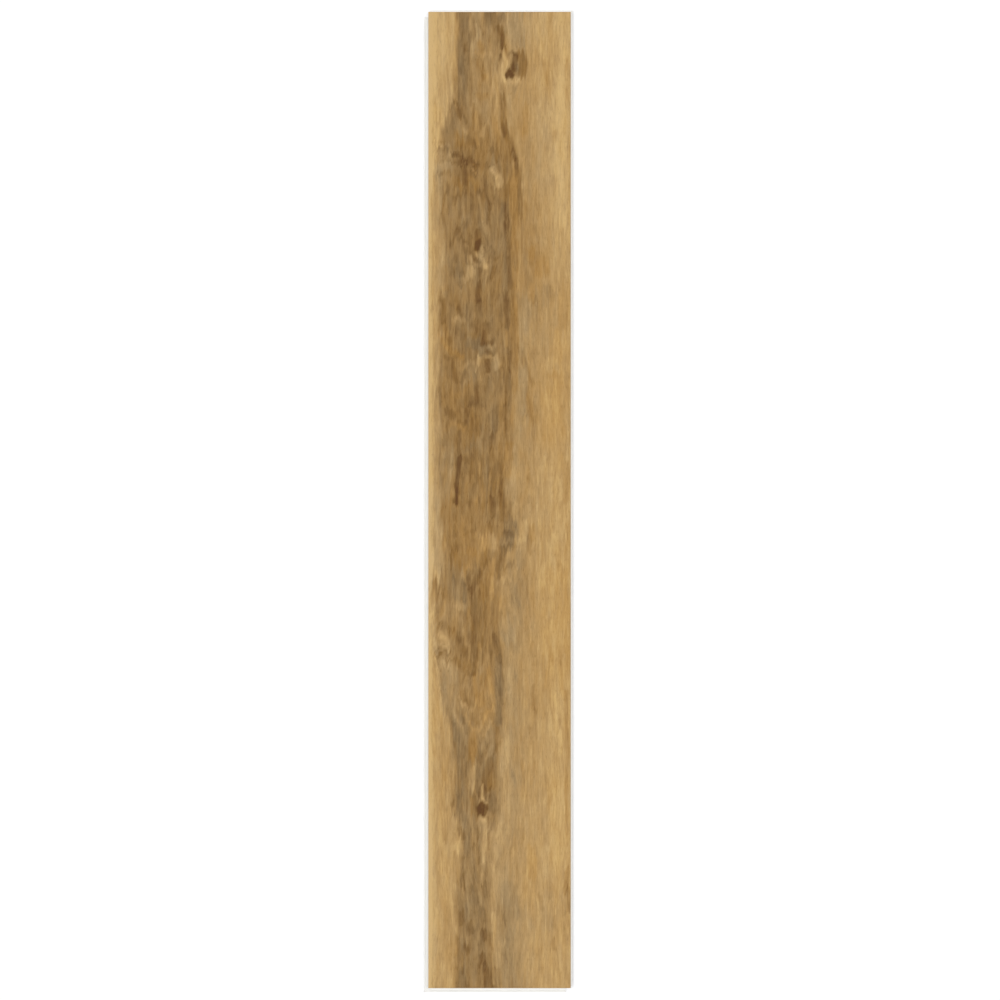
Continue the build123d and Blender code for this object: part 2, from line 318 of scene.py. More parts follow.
# strokes of the figure: half width, tone, warmth, then the points as (across, along)
strokes = [
    # along the edges
    (4.5, 0.19, -0.5, (0, -10), (0, 1230)),
    (5, -0.09, -0.4, (13, 198), (14, 300), (12, 480), (13, 694)),
    (8, 0.05, 0, (168, -10), (169, 260)), (2, -0.07, 0.4, (172, 60), (173, 120), (170, 155)),
    (3.5, -0.1, 0.5, (173, 565), (172, 612)), (2.4, -0.06, 0.5, (175, 640), (172, 720), (174, 800)),
    (2.4, -0.09, 0.5, (173, 850), (173, 960), (174, 1040)),
    (3.6, -0.12, 0.4, (173, 1072), (172, 1098)), (2.4, -0.2, 0.1, (175, 1095), (177, 1122)),
    (2, -0.07, 0.1, (176, 1134), (176, 1146)), (1.8, -0.1, 0.2, (177, 528), (177, 542)),
    (1.7, -0.08, 0.1, (168, 520), (168, 530)), (2.2, 0.06, 0.2, (166, 1080), (166, 1162)),
    (2, 0.07, 0.1, (165, 585), (165, 612)),
    # far end
    (6.4, -0.14, -0.4, (45, -5), (46, 30), (45, 55), (43, 85), (42, 112)),
    (3, -0.05, 0, (46, -5), (45, 28)), (2.2, -0.13, -0.1, (52, 26), (53, 70), (53, 118)),
    (2.4, -0.1, 0.3, (46, 39), (47, 47)), (3, -0.06, -0.1, (42, 58), (41, 75)),
    (2, -0.05, 0.1, (36, 80), (35, 108)), (2.6, 0.05, 0, (43, 80), (42, 108)),
    (4.4, 0.09, -0.1, (5, -5), (6, 104)), (2.6, -0.05, 0, (15, -5), (15, 60)),
    (1.9, -0.09, 0.1, (57, 8), (57, 32)), (1.8, 0.12, 0, (61, 18), (61, 36)),
    (5, -0.12, -0.3, (75, -5), (76, 15)),
    (4.6, -0.13, 0.1, (78, -5), (82, 9), (87, 20), (91, 32), (93, 46)),
    (4, -0.1, -0.2, (89, 8), (95, 10)), (3, -0.16, 0.4, (88, 20), (92, 32), (95, 46)),
    (3.4, -0.05, 0.2, (85, 21), (87, 34), (89, 48)), (2, -0.1, 0, (67, 19), (69, 26)),
    (4, -0.05, 0.6, (66, 39), (68, 46)), (3.4, 0.07, 0.5, (63, 52), (70, 53)),
    (2.4, 0.07, 0, (75, 54), (80, 54)), (4.4, -0.07, 0.5, (66, 60), (68, 70), (70, 82)),
    (2.4, -0.06, 0.4, (68, 78), (71, 83)), (4.4, -0.04, 0.6, (64, 104), (71, 106)),
    (4.6, 0.07, 0.3, (84, 84), (85, 112)), (3, 0.07, 0, (76, 82), (77, 112)),
    (9, -0.06, -0.4, (110, 8), (112, 38)), (3, -0.05, 0, (118, 36), (121, 45)),
    (2, -0.05, 0, (106, 13), (106, 19)), (3.4, -0.05, 0.3, (145, 62), (149, 92)),
    (3.4, -0.06, 0.2, (150, 80), (150, 112)), (3.4, -0.05, 0.2, (160, 68), (161, 94)),
    (2.2, 0.06, 0, (155, 128), (155, 146)), (3, -0.06, 0.2, (172, 170), (171, 202)),
    (4, -0.04, 0.4, (153, 0), (153, 32)), (2.6, 0.05, 0, (165, 82), (165, 108)),
    (2.4, 0.05, 0, (169, 28), (170, 62)), (2, 0.05, 0, (102, 16), (103, 44)),
    (4, -0.03, 0.2, (16, 68), (17, 98)),
    # first knot
    (4.2, -0.6, 0.4, (99.5, 78), (103, 81)), (2.4, -0.16, 0.2, (107, 74), (107, 79)),
    (1.8, 0.15, 0, (95, 82), (96, 86)), (4.2, -0.34, 0.1, (110, 54), (108, 65), (107, 71)),
    (2.2, -0.18, 0, (102, 52), (108, 54)),
    (5, -0.18, 0.5, (115, 53), (119, 62), (119, 72), (117, 78)),
    (3, -0.12, -0.2, (112, 67), (112, 74)),
    (2.8, 0.2, 0.1, (93, 51), (96, 60), (95, 68), (92, 76), (93, 84)),
    (2, 0.08, 0, (99, 60), (99, 67)), (3.4, 0.13, 0, (94, 88), (104, 90), (112, 87)),
    (2.6, 0.06, 0, (100, 93), (100, 107)), (3.0, -0.1, 0.1, (105, 70), (103, 76)),
    (3, -0.06, -0.2, (107, 93), (108, 105)), (1.8, -0.24, 0, (90, 57), (89, 66)),
    (1.6, -0.18, 0.1, (93, 48), (91, 56)), (1.8, -0.06, 0.1, (87, 69), (85, 74)),
    # right side of the heartwood
    (3.8, -0.16, 0.4, (93, 108), (93, 122), (95, 142), (98, 153), (102, 163), (105, 173)),
    (2.6, -0.09, 0.1, (95, 143), (98, 154)), (3.8, -0.17, 0.2, (106, 176), (107, 184)),
    (3, -0.09, 0.3, (110, 186), (113, 205), (115, 225), (116, 256)),
    (3.2, 0.04, -0.4, (101, 108), (103, 142)), (2.4, 0.07, 0, (110, 158), (118, 195), (120, 235)),
    (2.4, -0.1, 0.1, (100, 217), (99, 236)), (2.6, -0.12, 0, (99, 240), (99, 258)),
    (2.6, -0.15, 0.1, (99, 258), (99, 284)), (2.4, -0.12, 0, (97, 268), (97, 292)),
    (2, 0.06, 0, (104, 262), (105, 300)), (2.6, -0.09, 0, (99, 286), (100, 304)),
    (3.2, -0.12, 0.1, (101, 307), (102, 325), (102, 346)), (4, -0.05, -0.1, (97, 352), (99, 362)),
    (3.2, -0.13, 0.1, (99, 360), (99, 396)), (3.4, -0.03, -0.5, (94, 245), (95, 345)),
    (5, 0.03, 0.6, (107, 212), (108, 245), (109, 300), (110, 345)),
    (2.6, -0.1, 0.3, (110, 288), (110, 324)), (2, 0.08, 0.7, (100, 403), (99, 422)),
    (2.2, -0.16, 0.1, (102, 424), (102, 450)), (3.4, -0.1, 0.3, (101, 450), (100, 475), (98, 490)),
    (3, -0.16, 0.1, (97, 492), (96, 508)), (2.6, -0.13, 0.2, (98, 512), (96, 532)),
    (2, 0.06, 0, (91, 424), (91, 444)), (2.2, -0.1, 0, (95, 447), (94, 460)),
    (2, 0.08, 0.2, (106, 450), (106, 462)), (5, 0, 0.6, (101, 542), (100, 578)),
    (2.4, -0.1, 0.1, (89, 560), (90, 577)), (2.6, -0.13, 0.1, (92, 584), (91, 600)),
    (3.2, -0.14, 0.2, (92, 602), (93, 618), (92, 634)),
    (2.2, -0.13, 0.2, (90, 667), (90, 678), (89, 690), (88, 707)),
    (3.4, -0.15, 0.1, (83, 778), (86, 792), (90, 811)),
    (4.2, -0.08, -0.5, (89, 806), (88, 820), (88, 845), (89, 862), (89, 874), (88, 888)),
    (2, -0.1, 0.4, (87, 894), (87, 912)), (2, -0.14, 0.3, (88, 914), (87, 922), (82, 927)),
    # heartwood running out to the left
    (5.4, -0.09, -0.3, (36, 122), (32, 140), (28, 155), (25, 168)),
    (2.8, -0.22, 0.1, (34, 114), (36, 116)), (3, -0.15, 0, (27, 115), (27, 122)),
    (4.2, -0.17, 0.3, (39, 123), (41, 129)), (2.2, -0.13, 0.1, (46, 131), (48, 138)),
    (5, 0.05, -0.3, (37, 137), (40, 148)), (3, 0.1, 0, (46, 149), (50, 150)),
    (1.8, -0.13, 0.3, (57, 115), (57, 148)), (1.6, 0.07, 0.4, (60, 125), (61, 150), (64, 166)),
    (3, 0.09, -0.3, (76, 118), (74, 140)), (2.8, 0.13, 0, (70, 144), (68, 153)),
    (3, 0.06, 0.4, (85, 120), (84, 150)), (2.4, -0.05, 0.2, (66, 128), (64, 145)),
    (5, 0, 0.6, (34, 154), (40, 164)), (5, -0.06, 0.3, (37, 168), (55, 165)),
    (1.8, -0.14, 0, (59, 160), (61, 168)), (3, -0.08, 0, (46, 156), (50, 157)),
    (2.8, -0.13, 0, (13, 173), (20, 173), (28, 175), (34, 178)),
    (1.4, -0.08, 0.1, (4, 163), (18, 164)), (1.4, 0.07, 0, (8, 167), (26, 168)),
    (1.4, -0.07, 0.1, (3, 170), (15, 171)), (1.4, -0.08, 0.1, (5, 179), (24, 180)),
    (1.4, -0.07, 0.1, (11, 187), (30, 186)), (3.2, -0.19, 0.2, (33, 178), (38, 179), (42, 182)),
    (2.4, -0.2, 0.2, (43, 185), (52, 186), (58, 189), (62, 191)),
    (1.8, -0.13, 0.1, (29, 188), (38, 188), (48, 187)), (2, -0.2, 0.1, (39, 192), (48, 192)),
    (1.5, -0.12, 0.1, (54, 195), (61, 195)), (1.8, -0.12, 0.1, (54, 203), (60, 202)),
    (2.4, -0.12, 0.1, (50, 190), (56, 193)), (2, -0.12, 0, (78, 196), (82, 197)),
    (2, 0.1, 0.6, (55, 192), (58, 192)), (1.8, 0.08, 0.6, (55, 199), (59, 199)),
    (3.2, -0.17, 0.3, (45, 197), (47, 207), (46, 217)), (2.2, -0.16, 0, (78, 168), (80, 176)),
    (3, -0.12, 0.1, (84, 172), (86, 184)), (2.6, -0.1, 0.2, (52, 176), (53, 184)),
    (3, -0.06, 0.1, (69, 193), (72, 204)), (1.4, -0.14, 0, (71, 192), (82, 192)),
    (4.2, 0.17, -0.2, (81, 195), (86, 205), (90, 217)), (1.6, -0.08, -0.2, (82, 206), (84, 213)),
    (2.4, -0.1, 0, (70, 206), (71, 222)), (5, 0.06, -0.4, (15, 195), (30, 193)),
    (2.4, -0.09, 0.2, (15, 203), (28, 202)), (3.4, -0.05, 0.5, (123, 118), (121, 152)),
    (2, -0.05, 0.2, (130, 164), (131, 182)), (14, 0, -0.4, (146, 120), (146, 200)),
    (1.6, -0.06, 0, (144, 128), (144, 146)), (2, -0.07, 0.2, (160, 152), (161, 166)),
    (2.2, 0.05, 0, (162, 187), (162, 207)), (1.8, -0.07, 0, (158, 204), (158, 226)),
    (6, 0, 0.5, (11, 125), (11, 165)),
    # above the second knot
    (4, -0.03, 0.6, (33, 208), (40, 220)), (3.4, -0.14, 0.2, (25, 219), (23, 228)),
    (2, -0.08, 0.4, (21, 230), (19, 242), (20, 263)), (3.4, -0.12, 0.2, (36, 231), (45, 227)),
    (2.4, -0.1, 0.1, (33, 231), (33, 240)), (2.4, 0.08, 0, (17, 212), (21, 222)),
    (2.2, -0.12, 0.1, (79, 220), (81, 230)), (5, 0.04, 0.6, (55, 212), (62, 218)),
    (3, -0.17, 0.1, (68, 224), (71, 231), (75, 239), (76, 246)),
    (1.6, -0.1, 0, (54, 230), (54, 233)), (1.7, 0.16, 0, (64, 230), (66, 242), (68, 258)),
    (2.2, 0.07, -0.2, (69, 258), (73, 272)), (2, 0.1, -0.2, (43, 244), (45, 259)),
    (3, -0.06, 0, (53, 248), (60, 242)), (2.6, -0.06, 0.1, (75, 246), (74, 260)),
    (2.4, -0.1, 0.1, (73, 216), (73, 262)), (3.4, -0.06, 0.2, (134, 215), (135, 256)),
    (2, 0.06, 0, (94, 238), (94, 252)), (2.6, -0.06, 0.2, (4, 298), (4, 325)),
    (8, -0.02, -0.4, (44, 236), (46, 266)), (6, -0.02, -0.4, (86, 240), (86, 300)),
    # second knot
    (2.8, -0.13, 0.2, (38, 271), (33, 282), (29, 292)),
    (2.6, -0.08, 0.2, (46, 262), (49, 272), (53, 281)), (3.8, -0.2, 0.3, (63, 274), (63, 284)),
    (3.8, -0.46, 0.4, (62, 289), (61.5, 295)), (1.8, -0.13, 0.1, (42, 283), (45, 290)),
    (2.6, -0.1, 0.1, (54, 282), (55, 294)), (2, -0.09, 0.1, (48, 290), (52, 292)),
    (2, 0.2, 0, (68, 296), (68, 301)), (1.6, -0.16, 0, (63, 299), (66, 302)),
    (1.3, -0.09, -0.1, (72, 297), (77, 293), (82, 297), (82, 302), (78, 305)),
    (3.4, 0.22, 0, (63, 303), (67, 309), (70, 313), (73, 315)),
    (2.4, 0.14, 0.1, (66, 319), (75, 312)), (2, -0.2, 0.1, (59.5, 307), (61.5, 312)),
    (3, 0.15, 0, (54, 309), (57, 314)), (2.4, -0.12, 0.1, (48, 299), (47, 318)),
    (2, -0.08, 0.1, (55, 303), (58, 304)), (6.4, -0.08, -0.4, (33, 312), (37, 328)),
    (3, -0.05, 0, (31, 326), (44, 327)), (4.6, 0.2, -0.1, (55, 323), (52, 331), (48, 336)),
    (2.2, -0.12, 0.1, (63, 322), (63, 332)), (3.2, -0.2, 0.1, (63, 339), (63, 361)),
    (2.4, -0.08, 0.1, (63, 362), (62, 375)), (3.2, -0.13, 0.4, (82, 320), (79, 331)),
    (2.6, -0.08, 0.1, (80, 353), (79, 376)), (2.6, -0.06, 0.2, (5, 372), (6, 405)),
    (2.6, -0.1, 0.1, (67, 395), (66, 412)), (2, -0.1, 0.1, (82, 308), (87, 309)),
    (1.6, 0.06, 0.3, (85, 329), (85, 350)), (2.4, -0.07, -0.2, (38, 342), (42, 345)),
    (2, 0.09, 0, (38, 348), (42, 348)), (4, -0.02, 0.6, (20, 322), (21, 346)),
    (10, -0.05, 0.7, (132, 300), (142, 324)), (2.4, -0.07, 0.2, (133, 266), (134, 277)),
    (5, -0.07, -0.2, (149, 346), (155, 356)), (2.2, -0.11, 0.2, (133, 359), (134, 364)),
    (2, -0.06, 0.1, (134, 370), (135, 404)), (2, 0.06, 0, (127, 360), (127, 364)),
    (2, 0.06, 0, (140, 361), (140, 365)),
    # third knot
    (2.6, -0.16, 0.2, (19, 360), (20, 375), (20, 388)),
    (2.6, -0.1, 0.3, (20, 388), (23, 402), (28, 410)),
    (3, 0.04, 0.7, (15, 406), (22, 416), (30, 425), (42, 430)),
    (4, -0.06, 0.2, (31, 362), (38, 371)), (2.6, -0.14, 0.1, (38, 372), (40, 378)),
    (3, 0.13, -0.1, (33, 383), (38, 385), (44, 386)),
    (4.4, -0.1, 0, (34, 394), (38, 402), (43, 407)), (6, -0.02, -0.5, (52, 370), (54, 396)),
    (1.8, -0.13, 0, (61, 386), (61, 401)), (2, -0.09, 0, (58, 404), (57, 421)),
    (2.8, -0.16, 0.1, (71, 387), (70, 400), (68, 414)), (2.2, -0.09, 0, (76, 388), (77, 398)),
    (3, -0.14, 0.1, (73, 413), (80, 411)), (1.6, 0.06, -0.3, (50, 394), (51, 409)),
    (6, -0.02, -0.6, (52, 415), (72, 420)), (2.4, 0.11, 0, (77, 418), (84, 418)),
    (2.4, -0.17, 0.1, (73, 423), (80, 427)), (2, -0.12, 0, (62, 425), (61, 434)),
    (1.8, 0.07, 0, (65, 430), (72, 429), (80, 432)), (4.2, 0.22, 0, (85, 431), (87, 443)),
    (3.2, -0.26, 0.3, (73, 435), (74, 441), (75, 447)),
    (2.2, 0.2, 0, (65, 431), (63.5, 440), (60, 450)),
    (2.6, -0.12, 0.1, (31, 438), (32, 450), (35, 462)), (3, -0.08, 0.1, (20, 429), (34, 433)),
    (3, 0.11, 0.1, (40, 446), (47, 442), (56, 440)), (3, -0.1, -0.2, (46, 449), (42, 461)),
    (2.4, 0.08, 0, (44, 463), (51, 461)), (2.4, 0.08, 0, (25, 457), (27, 466)),
    (2.2, -0.09, 0.1, (19, 466), (21, 476)), (4, 0.05, 0.5, (38, 480), (48, 470)),
    (2.6, -0.13, 0.1, (62, 466), (62, 480), (59, 490)), (2.6, -0.12, 0, (52, 492), (58, 494)),
    (3, -0.12, 0.1, (69, 468), (70, 492)), (2.4, 0.07, 0, (53, 450), (55, 482)),
    (3.4, -0.1, 0.2, (113, 420), (120, 438), (130, 462)), (2.2, -0.09, 0.1, (91, 445), (90, 460)),
    (4, -0.05, 0.3, (18, 460), (20, 488)), (8, -0.01, -0.5, (120, 365), (118, 400)),
    (5, 0, -0.5, (119, 450), (119, 500)), (5, 0.04, 0.5, (160, 402), (162, 436)),
    (3, -0.06, 0.5, (152, 453), (165, 455)), (4, 0.05, 0.6, (160, 464), (160, 510)),
    (2.4, 0.06, 0, (169, 400), (169, 428)), (3, -0.05, 0.2, (125, 468), (124, 492)),
    (2, 0.06, 0, (148, 468), (148, 492)),
    # between the third knot and the check
    (3.6, -0.15, 0.2, (23, 495), (28, 499), (32, 506)), (3, -0.13, 0.1, (47, 498), (50, 503)),
    (3.2, -0.12, 0.1, (38, 511), (45, 512)), (3, -0.11, 0.3, (25, 511), (23, 521)),
    (6, -0.04, 0.2, (55, 498), (60, 515)), (3, 0.06, 0.6, (30, 514), (44, 519)),
    (5, -0.06, -0.4, (24, 527), (22, 537)), (3, 0.08, 0, (20, 543), (20, 552)),
    (1.8, 0.07, 0, (73, 498), (72, 516)), (5, -0.03, -0.5, (82, 495), (83, 520)),
    (2, -0.07, 0, (85, 514), (85, 524)), (4.4, 0.03, -0.5, (109, 480), (113, 520)),
    (6, -0.06, 0.4, (126, 488), (131, 510)), (2, -0.08, 0.2, (132, 506), (132, 532)),
    # long check
    (2.6, -0.1, 0.1, (39, 524), (38, 548)), (2.4, -0.1, 0, (38, 536), (38, 552)),
    (2.6, -0.38, 0, (38.5, 555), (38, 580), (35.5, 594), (34, 613)),
    (3, -0.1, 0.1, (45, 554), (47, 560)), (3, -0.1, 0.1, (43, 578), (41, 602)),
    (2.6, -0.06, 0.3, (105, 540), (105, 560)), (2.2, -0.09, 0, (101, 512), (101, 524)),
    (3, -0.08, 0.2, (127, 582), (124, 614)), (3, 0.06, 0, (7, 542), (7, 584)),
    (2, 0.1, -0.2, (31, 548), (30, 562)), (1.8, 0.09, -0.2, (29, 573), (29, 585)),
    (3, -0.02, -0.5, (45, 546), (58, 545)), (3.4, -0.06, 0, (50, 556), (57, 562)),
    (1.8, -0.1, 0, (53, 572), (54, 584)), (3, 0.08, -0.1, (64, 535), (62, 546)),
    (1.8, 0.16, 0, (65, 566), (64, 579)), (1.8, 0.09, 0, (56, 582), (57, 591)),
    (2, 0.07, 0, (70, 568), (68, 586)), (2, 0.08, 0, (66, 584), (67, 598)),
    (2.4, -0.24, 0, (79, 529), (79, 547)), (3, 0.09, 0, (87, 549), (88, 560)),
    (2.6, -0.1, -0.3, (76, 553), (76, 576)), (4, 0.07, -0.2, (107, 576), (106, 590)),
    (3, 0.04, -0.4, (109, 548), (110, 566)), (3, -0.05, 0.3, (125, 567), (126, 574)),
    (3, 0.05, 0, (150, 583), (156, 582)),
    # golden stretch
    (2, -0.1, 0.1, (34, 628), (34, 636)), (2, -0.12, 0.1, (33, 643), (33, 656)),
    (2.4, -0.09, 0.1, (34, 664), (34, 672)), (3, -0.12, 0.2, (29, 677), (30, 693)),
    (3, -0.07, 0, (50, 613), (54, 616)), (2.4, -0.09, 0.1, (69, 616), (70, 625)),
    (1.8, -0.14, 0, (65, 608), (65, 613)), (3, -0.2, 0.1, (80, 606), (81, 616), (80, 628)),
    (2.4, -0.11, 0.1, (80, 630), (79, 640)), (2.4, -0.09, 0.3, (76, 640), (78, 646)),
    (3, 0.08, 0.5, (43, 628), (46, 637)), (1.8, 0.08, 0.4, (61, 610), (61, 616)),
    (2.6, 0.06, 0, (53, 600), (53, 606)), (2.2, -0.06, 0, (46, 649), (58, 650)),
    (3, -0.05, 0, (51, 633), (54, 637)), (4, 0.09, 0.4, (60, 657), (70, 662), (66, 671)),
    (4, 0.08, 0.2, (70, 656), (75, 669)), (2.6, -0.1, 0.2, (128, 655), (126, 676)),
    (2.6, -0.08, 0.1, (5, 620), (5, 652)), (4.2, 0.12, -0.1, (80, 654), (83, 669)),
    (4, 0.05, 0.6, (52, 672), (62, 681)), (3, -0.1, 0.1, (72, 672), (72, 690)),
    (2.4, -0.07, 0.1, (67, 691), (77, 684)), (3, 0.1, 0.4, (81, 684), (79, 722)),
    # grey patch
    (2.6, -0.08, 0.2, (94, 651), (98, 651)),
    (3.4, -0.09, -0.5, (108, 641), (112, 645), (111, 655), (103, 657), (97, 652)),
    (3.4, -0.1, -0.5, (102, 656), (102, 676)), (3, -0.1, -0.2, (93, 670), (91, 695)),
    (3, -0.13, -0.1, (104, 692), (110, 691)), (2.6, 0.08, 0, (112, 655), (113, 668)),
    (3, 0.07, 0, (94, 634), (94, 645)), (2.4, -0.09, -0.5, (106, 662), (105, 676)),
    (2.4, -0.03, -0.5, (91, 658), (92, 668)), (4.4, 0.1, 0, (119, 638), (119, 655), (114, 669)),
    (4, 0.07, 0, (112, 616), (109, 623)), (2.4, -0.09, 0, (103, 616), (104, 626)),
    (3, 0.07, 0, (127, 632), (128, 640)), (3, -0.05, -0.1, (120, 631), (125, 633)),
    (2.4, -0.05, 0, (131, 619), (131, 626)), (4, -0.07, 0.6, (130, 644), (132, 660)),
    (1.6, -0.07, 0, (158, 641), (158, 648)), (4, -0.04, -0.4, (114, 674), (116, 692)),
    (3, -0.12, 0.2, (95, 696), (100, 697)), (3.4, 0.1, 0, (94, 710), (102, 711)),
    (4, 0.08, 0.1, (78, 706), (84, 714)),
    # dark curve
    (4, -0.09, -0.3, (30, 698), (31, 709)), (3.4, 0.09, -0.3, (44, 700), (45, 706)),
    (2.6, 0.11, 0.5, (50, 692), (53, 696)), (2.2, -0.1, 0, (56, 698), (58, 702)),
    (2.6, -0.04, -0.5, (62, 694), (63, 702)),
    (3.6, -0.16, 0.2, (65, 702), (60, 710), (57, 717), (55, 724)),
    (3.2, -0.12, 0.1, (51, 705), (53, 716)),
    (4.2, -0.18, 0.2, (54, 722), (55, 731), (57, 742), (58, 752)),
    (4, -0.18, 0.2, (59, 760), (59, 766), (57, 774), (57, 782), (58, 796), (60, 810)),
    (3, -0.08, 0.4, (68, 714), (71, 731)), (1.7, -0.14, 0, (64, 722), (64, 730)),
    (3, -0.08, -0.3, (44, 711), (43, 733)), (3.5, -0.14, 0.2, (4, 714), (4, 749)),
    (3.4, -0.07, 0, (120, 712), (121, 738)), (2.6, -0.05, 0.2, (123, 744), (124, 772)),
    (3, -0.08, 0.2, (42, 782), (47, 799)), (4.4, -0.09, -0.5, (33, 712), (33, 732)),
    (3.2, -0.1, -0.5, (46, 714), (46, 732)), (1.8, 0.05, -0.2, (39, 716), (39, 738)),
    (4, -0.05, 0.5, (10, 713), (10, 730)), (4, -0.05, 0.5, (19, 721), (21, 730)),
    (5, -0.05, -0.5, (107, 717), (110, 742)), (4.4, 0.13, -0.2, (38, 743), (45, 741)),
    (2, -0.07, 0, (40, 750), (41, 754)), (2.4, -0.05, -0.5, (48, 734), (48, 749)),
    (3.4, 0.04, 0.6, (20, 741), (18, 750)), (1.8, -0.1, 0.1, (68, 777), (68, 790)),
    (2, 0.07, 0.6, (64, 790), (65, 797)), (2.6, -0.1, 0.1, (67, 802), (69, 812)),
    (3, -0.07, 0.1, (72, 797), (79, 801)), (2.6, 0.05, 0.6, (91, 735), (91, 746)),
    (2.2, -0.09, 0, (92, 752), (92, 764)), (3, 0.07, 0.3, (78, 718), (79, 732)),
    (1.5, -0.06, 0.2, (86, 740), (86, 762)), (2, 0.06, 0, (100, 724), (100, 746)),
    (2, -0.06, -0.3, (112, 736), (114, 741)), (8, 0.05, -0.4, (97, 764), (101, 784)),
    (3, -0.07, 0, (103, 789), (104, 802)), (3, -0.04, -0.5, (91, 775), (96, 786)),
    # eye at the left edge
    (4.4, -0.09, 0.3, (10, 760), (20, 766), (28, 772), (36, 783), (42, 795), (46, 806)),
    (2.6, -0.09, 0.1, (37, 783), (40, 785)), (2.4, -0.07, 0.1, (28, 773), (31, 774)),
    (1.8, 0.09, -0.1, (43, 768), (46, 780), (51, 796)),
    (4.2, 0.13, 0, (15, 778), (17, 784), (21, 790), (25, 793)), (2.2, 0.12, 0, (8, 785), (11, 789)),
    (2.8, 0.1, 0, (12, 783), (27, 785)), (2.4, 0.1, -0.1, (10, 793), (24, 797)),
    (2.6, 0.08, 0, (32, 778), (35, 793)), (2.6, -0.1, 0.1, (3, 768), (4, 786)),
    (3, -0.08, 0.2, (131, 790), (133, 815)), (3, -0.06, 0.3, (154, 795), (154, 812)),
    (1.6, -0.17, 0.3, (9, 795), (16, 796)), (2.4, -0.16, 0.6, (8, 803), (15, 803)),
    (1.6, -0.1, 0.1, (19, 799), (27, 801)), (1.6, 0.09, 0, (24, 806), (30, 806)),
    (1.6, -0.09, 0.1, (23, 809), (33, 810)), (3.4, 0.09, -0.2, (16, 813), (23, 818)),
    (2, -0.06, 0, (6, 812), (11, 812)), (5, 0.07, -0.2, (27, 817), (30, 836)),
    # nested ring tips
    (6, -0.08, 0.4, (38, 812), (52, 818)), (2, -0.16, 0.1, (57, 815), (57, 829)),
    (3.4, -0.12, 0.2, (47, 829), (56, 828)), (4, -0.03, -0.4, (20, 828), (20, 845)),
    (3, -0.08, -0.1, (11, 814), (13, 842)), (2.6, -0.1, 0, (17, 850), (19, 874)),
    (3.2, -0.12, -0.2, (92, 814), (92, 852)), (3, 0.07, 0, (34, 896), (36, 914)),
    (2, -0.08, 0.1, (52, 837), (54, 840)), (3.2, -0.08, 0.3, (43, 847), (47, 858), (52, 866)),
    (1.8, 0.12, 0, (39, 853), (43, 862), (48, 869), (54, 875), (57, 872), (60, 866), (62, 860)),
    (4.6, -0.03, -0.4, (18, 843), (22, 858), (27, 875), (31, 888), (35, 897)),
    (2.8, -0.1, 0, (32, 890), (35, 896)), (2.2, -0.07, -0.2, (38, 873), (46, 885)),
    (2, 0.1, 0, (31, 873), (35, 882), (40, 888), (44, 893)),
    (1.8, -0.11, 0.1, (45, 887), (47, 902)),
    (2, 0.1, 0.5, (81, 868), (76, 876), (71, 883), (68, 890), (65, 896), (60, 899), (54, 895),
     (50, 888), (47, 879)), (1.8, 0.08, 0.1, (80, 887), (77, 893), (73, 899), (67, 905)),
    (2, -0.08, 0, (75, 900), (77, 906)),
    (1.8, -0.06, 0.3, (56, 884), (60, 892), (64, 886), (68, 876)),
    (2, -0.08, 0.1, (57, 846), (57, 856)), (2.2, 0.07, 0, (44, 838), (50, 845)),
    (2, -0.09, 0.2, (64, 868), (64, 878)), (1.6, 0.06, -0.3, (68, 834), (68, 847)),
    (2.4, 0.03, -0.5, (66, 818), (67, 824)), (3, 0.04, 0.6, (76, 820), (78, 850)),
    (1.6, -0.05, 0.3, (73, 832), (73, 844)), (6, 0.01, 0.6, (62, 832), (66, 862)),
    (5, 0, 0.7, (55, 904), (56, 928)), (5, -0.03, -0.5, (77, 902), (73, 912)),
    (2, 0.05, -0.2, (72, 902), (66, 919)), (1.6, -0.06, -0.1, (66, 926), (72, 919), (78, 911)),
    (1.8, 0.07, -0.2, (71, 931), (76, 924), (80, 918)),
    (2.4, -0.11, 0.1, (65, 936), (67, 930), (71, 924)), (3, -0.06, 0.5, (53, 934), (57, 931)),
    (2, -0.1, 0.2, (47, 919), (47, 928)), (3, 0.06, -0.1, (101, 822), (101, 852)),
    (2, -0.05, -0.2, (107, 826), (108, 834)), (2.2, -0.13, 0.1, (131, 843), (131, 858), (133, 871)),
    (2.6, -0.06, -0.1, (134, 873), (135, 879)), (2.2, -0.07, 0.1, (135, 856), (136, 874)),
    (2.6, -0.08, 0.1, (129, 893), (129, 911)), (3, -0.1, 0.1, (119, 934), (119, 952)),
    (8, -0.04, 0, (132, 942), (140, 956)), (2.4, -0.09, 0.1, (163, 888), (163, 898)),
    (3, -0.06, 0.1, (132, 958), (132, 988)), (3, 0.06, 0, (169, 850), (169, 892)),
    (2, -0.05, 0.1, (133, 888), (134, 906)), (1.8, 0.1, 0.3, (158, 854), (158, 882)),
    (1.8, 0.08, 0.3, (165, 899), (166, 926)), (2, -0.05, 0.1, (145, 846), (145, 853)),
    (2, 0.1, 0.1, (92, 911), (92, 957)), (2, 0.1, 0, (99, 907), (99, 942)),
    (2, -0.07, -0.2, (105, 950), (107, 962)), (2.4, -0.07, 0, (161, 812), (167, 814)),
    # fourth knot
    (5.4, -0.07, -0.4, (38, 903), (40, 918), (42, 935), (42, 955), (40, 976)),
    (2, -0.05, 0.4, (33, 913), (34, 927)),
    (5, -0.1, -0.3, (39, 980), (39, 992), (43, 1002), (46, 1014)),
    (2.4, -0.12, 0.2, (31, 988), (31, 1003)), (2, 0.1, 0, (36, 1007), (36, 1014)),
    (2.2, 0.07, 0, (51, 998), (52, 1010)), (2.3, 0.2, 0, (57, 943), (57, 960), (57.5, 975)),
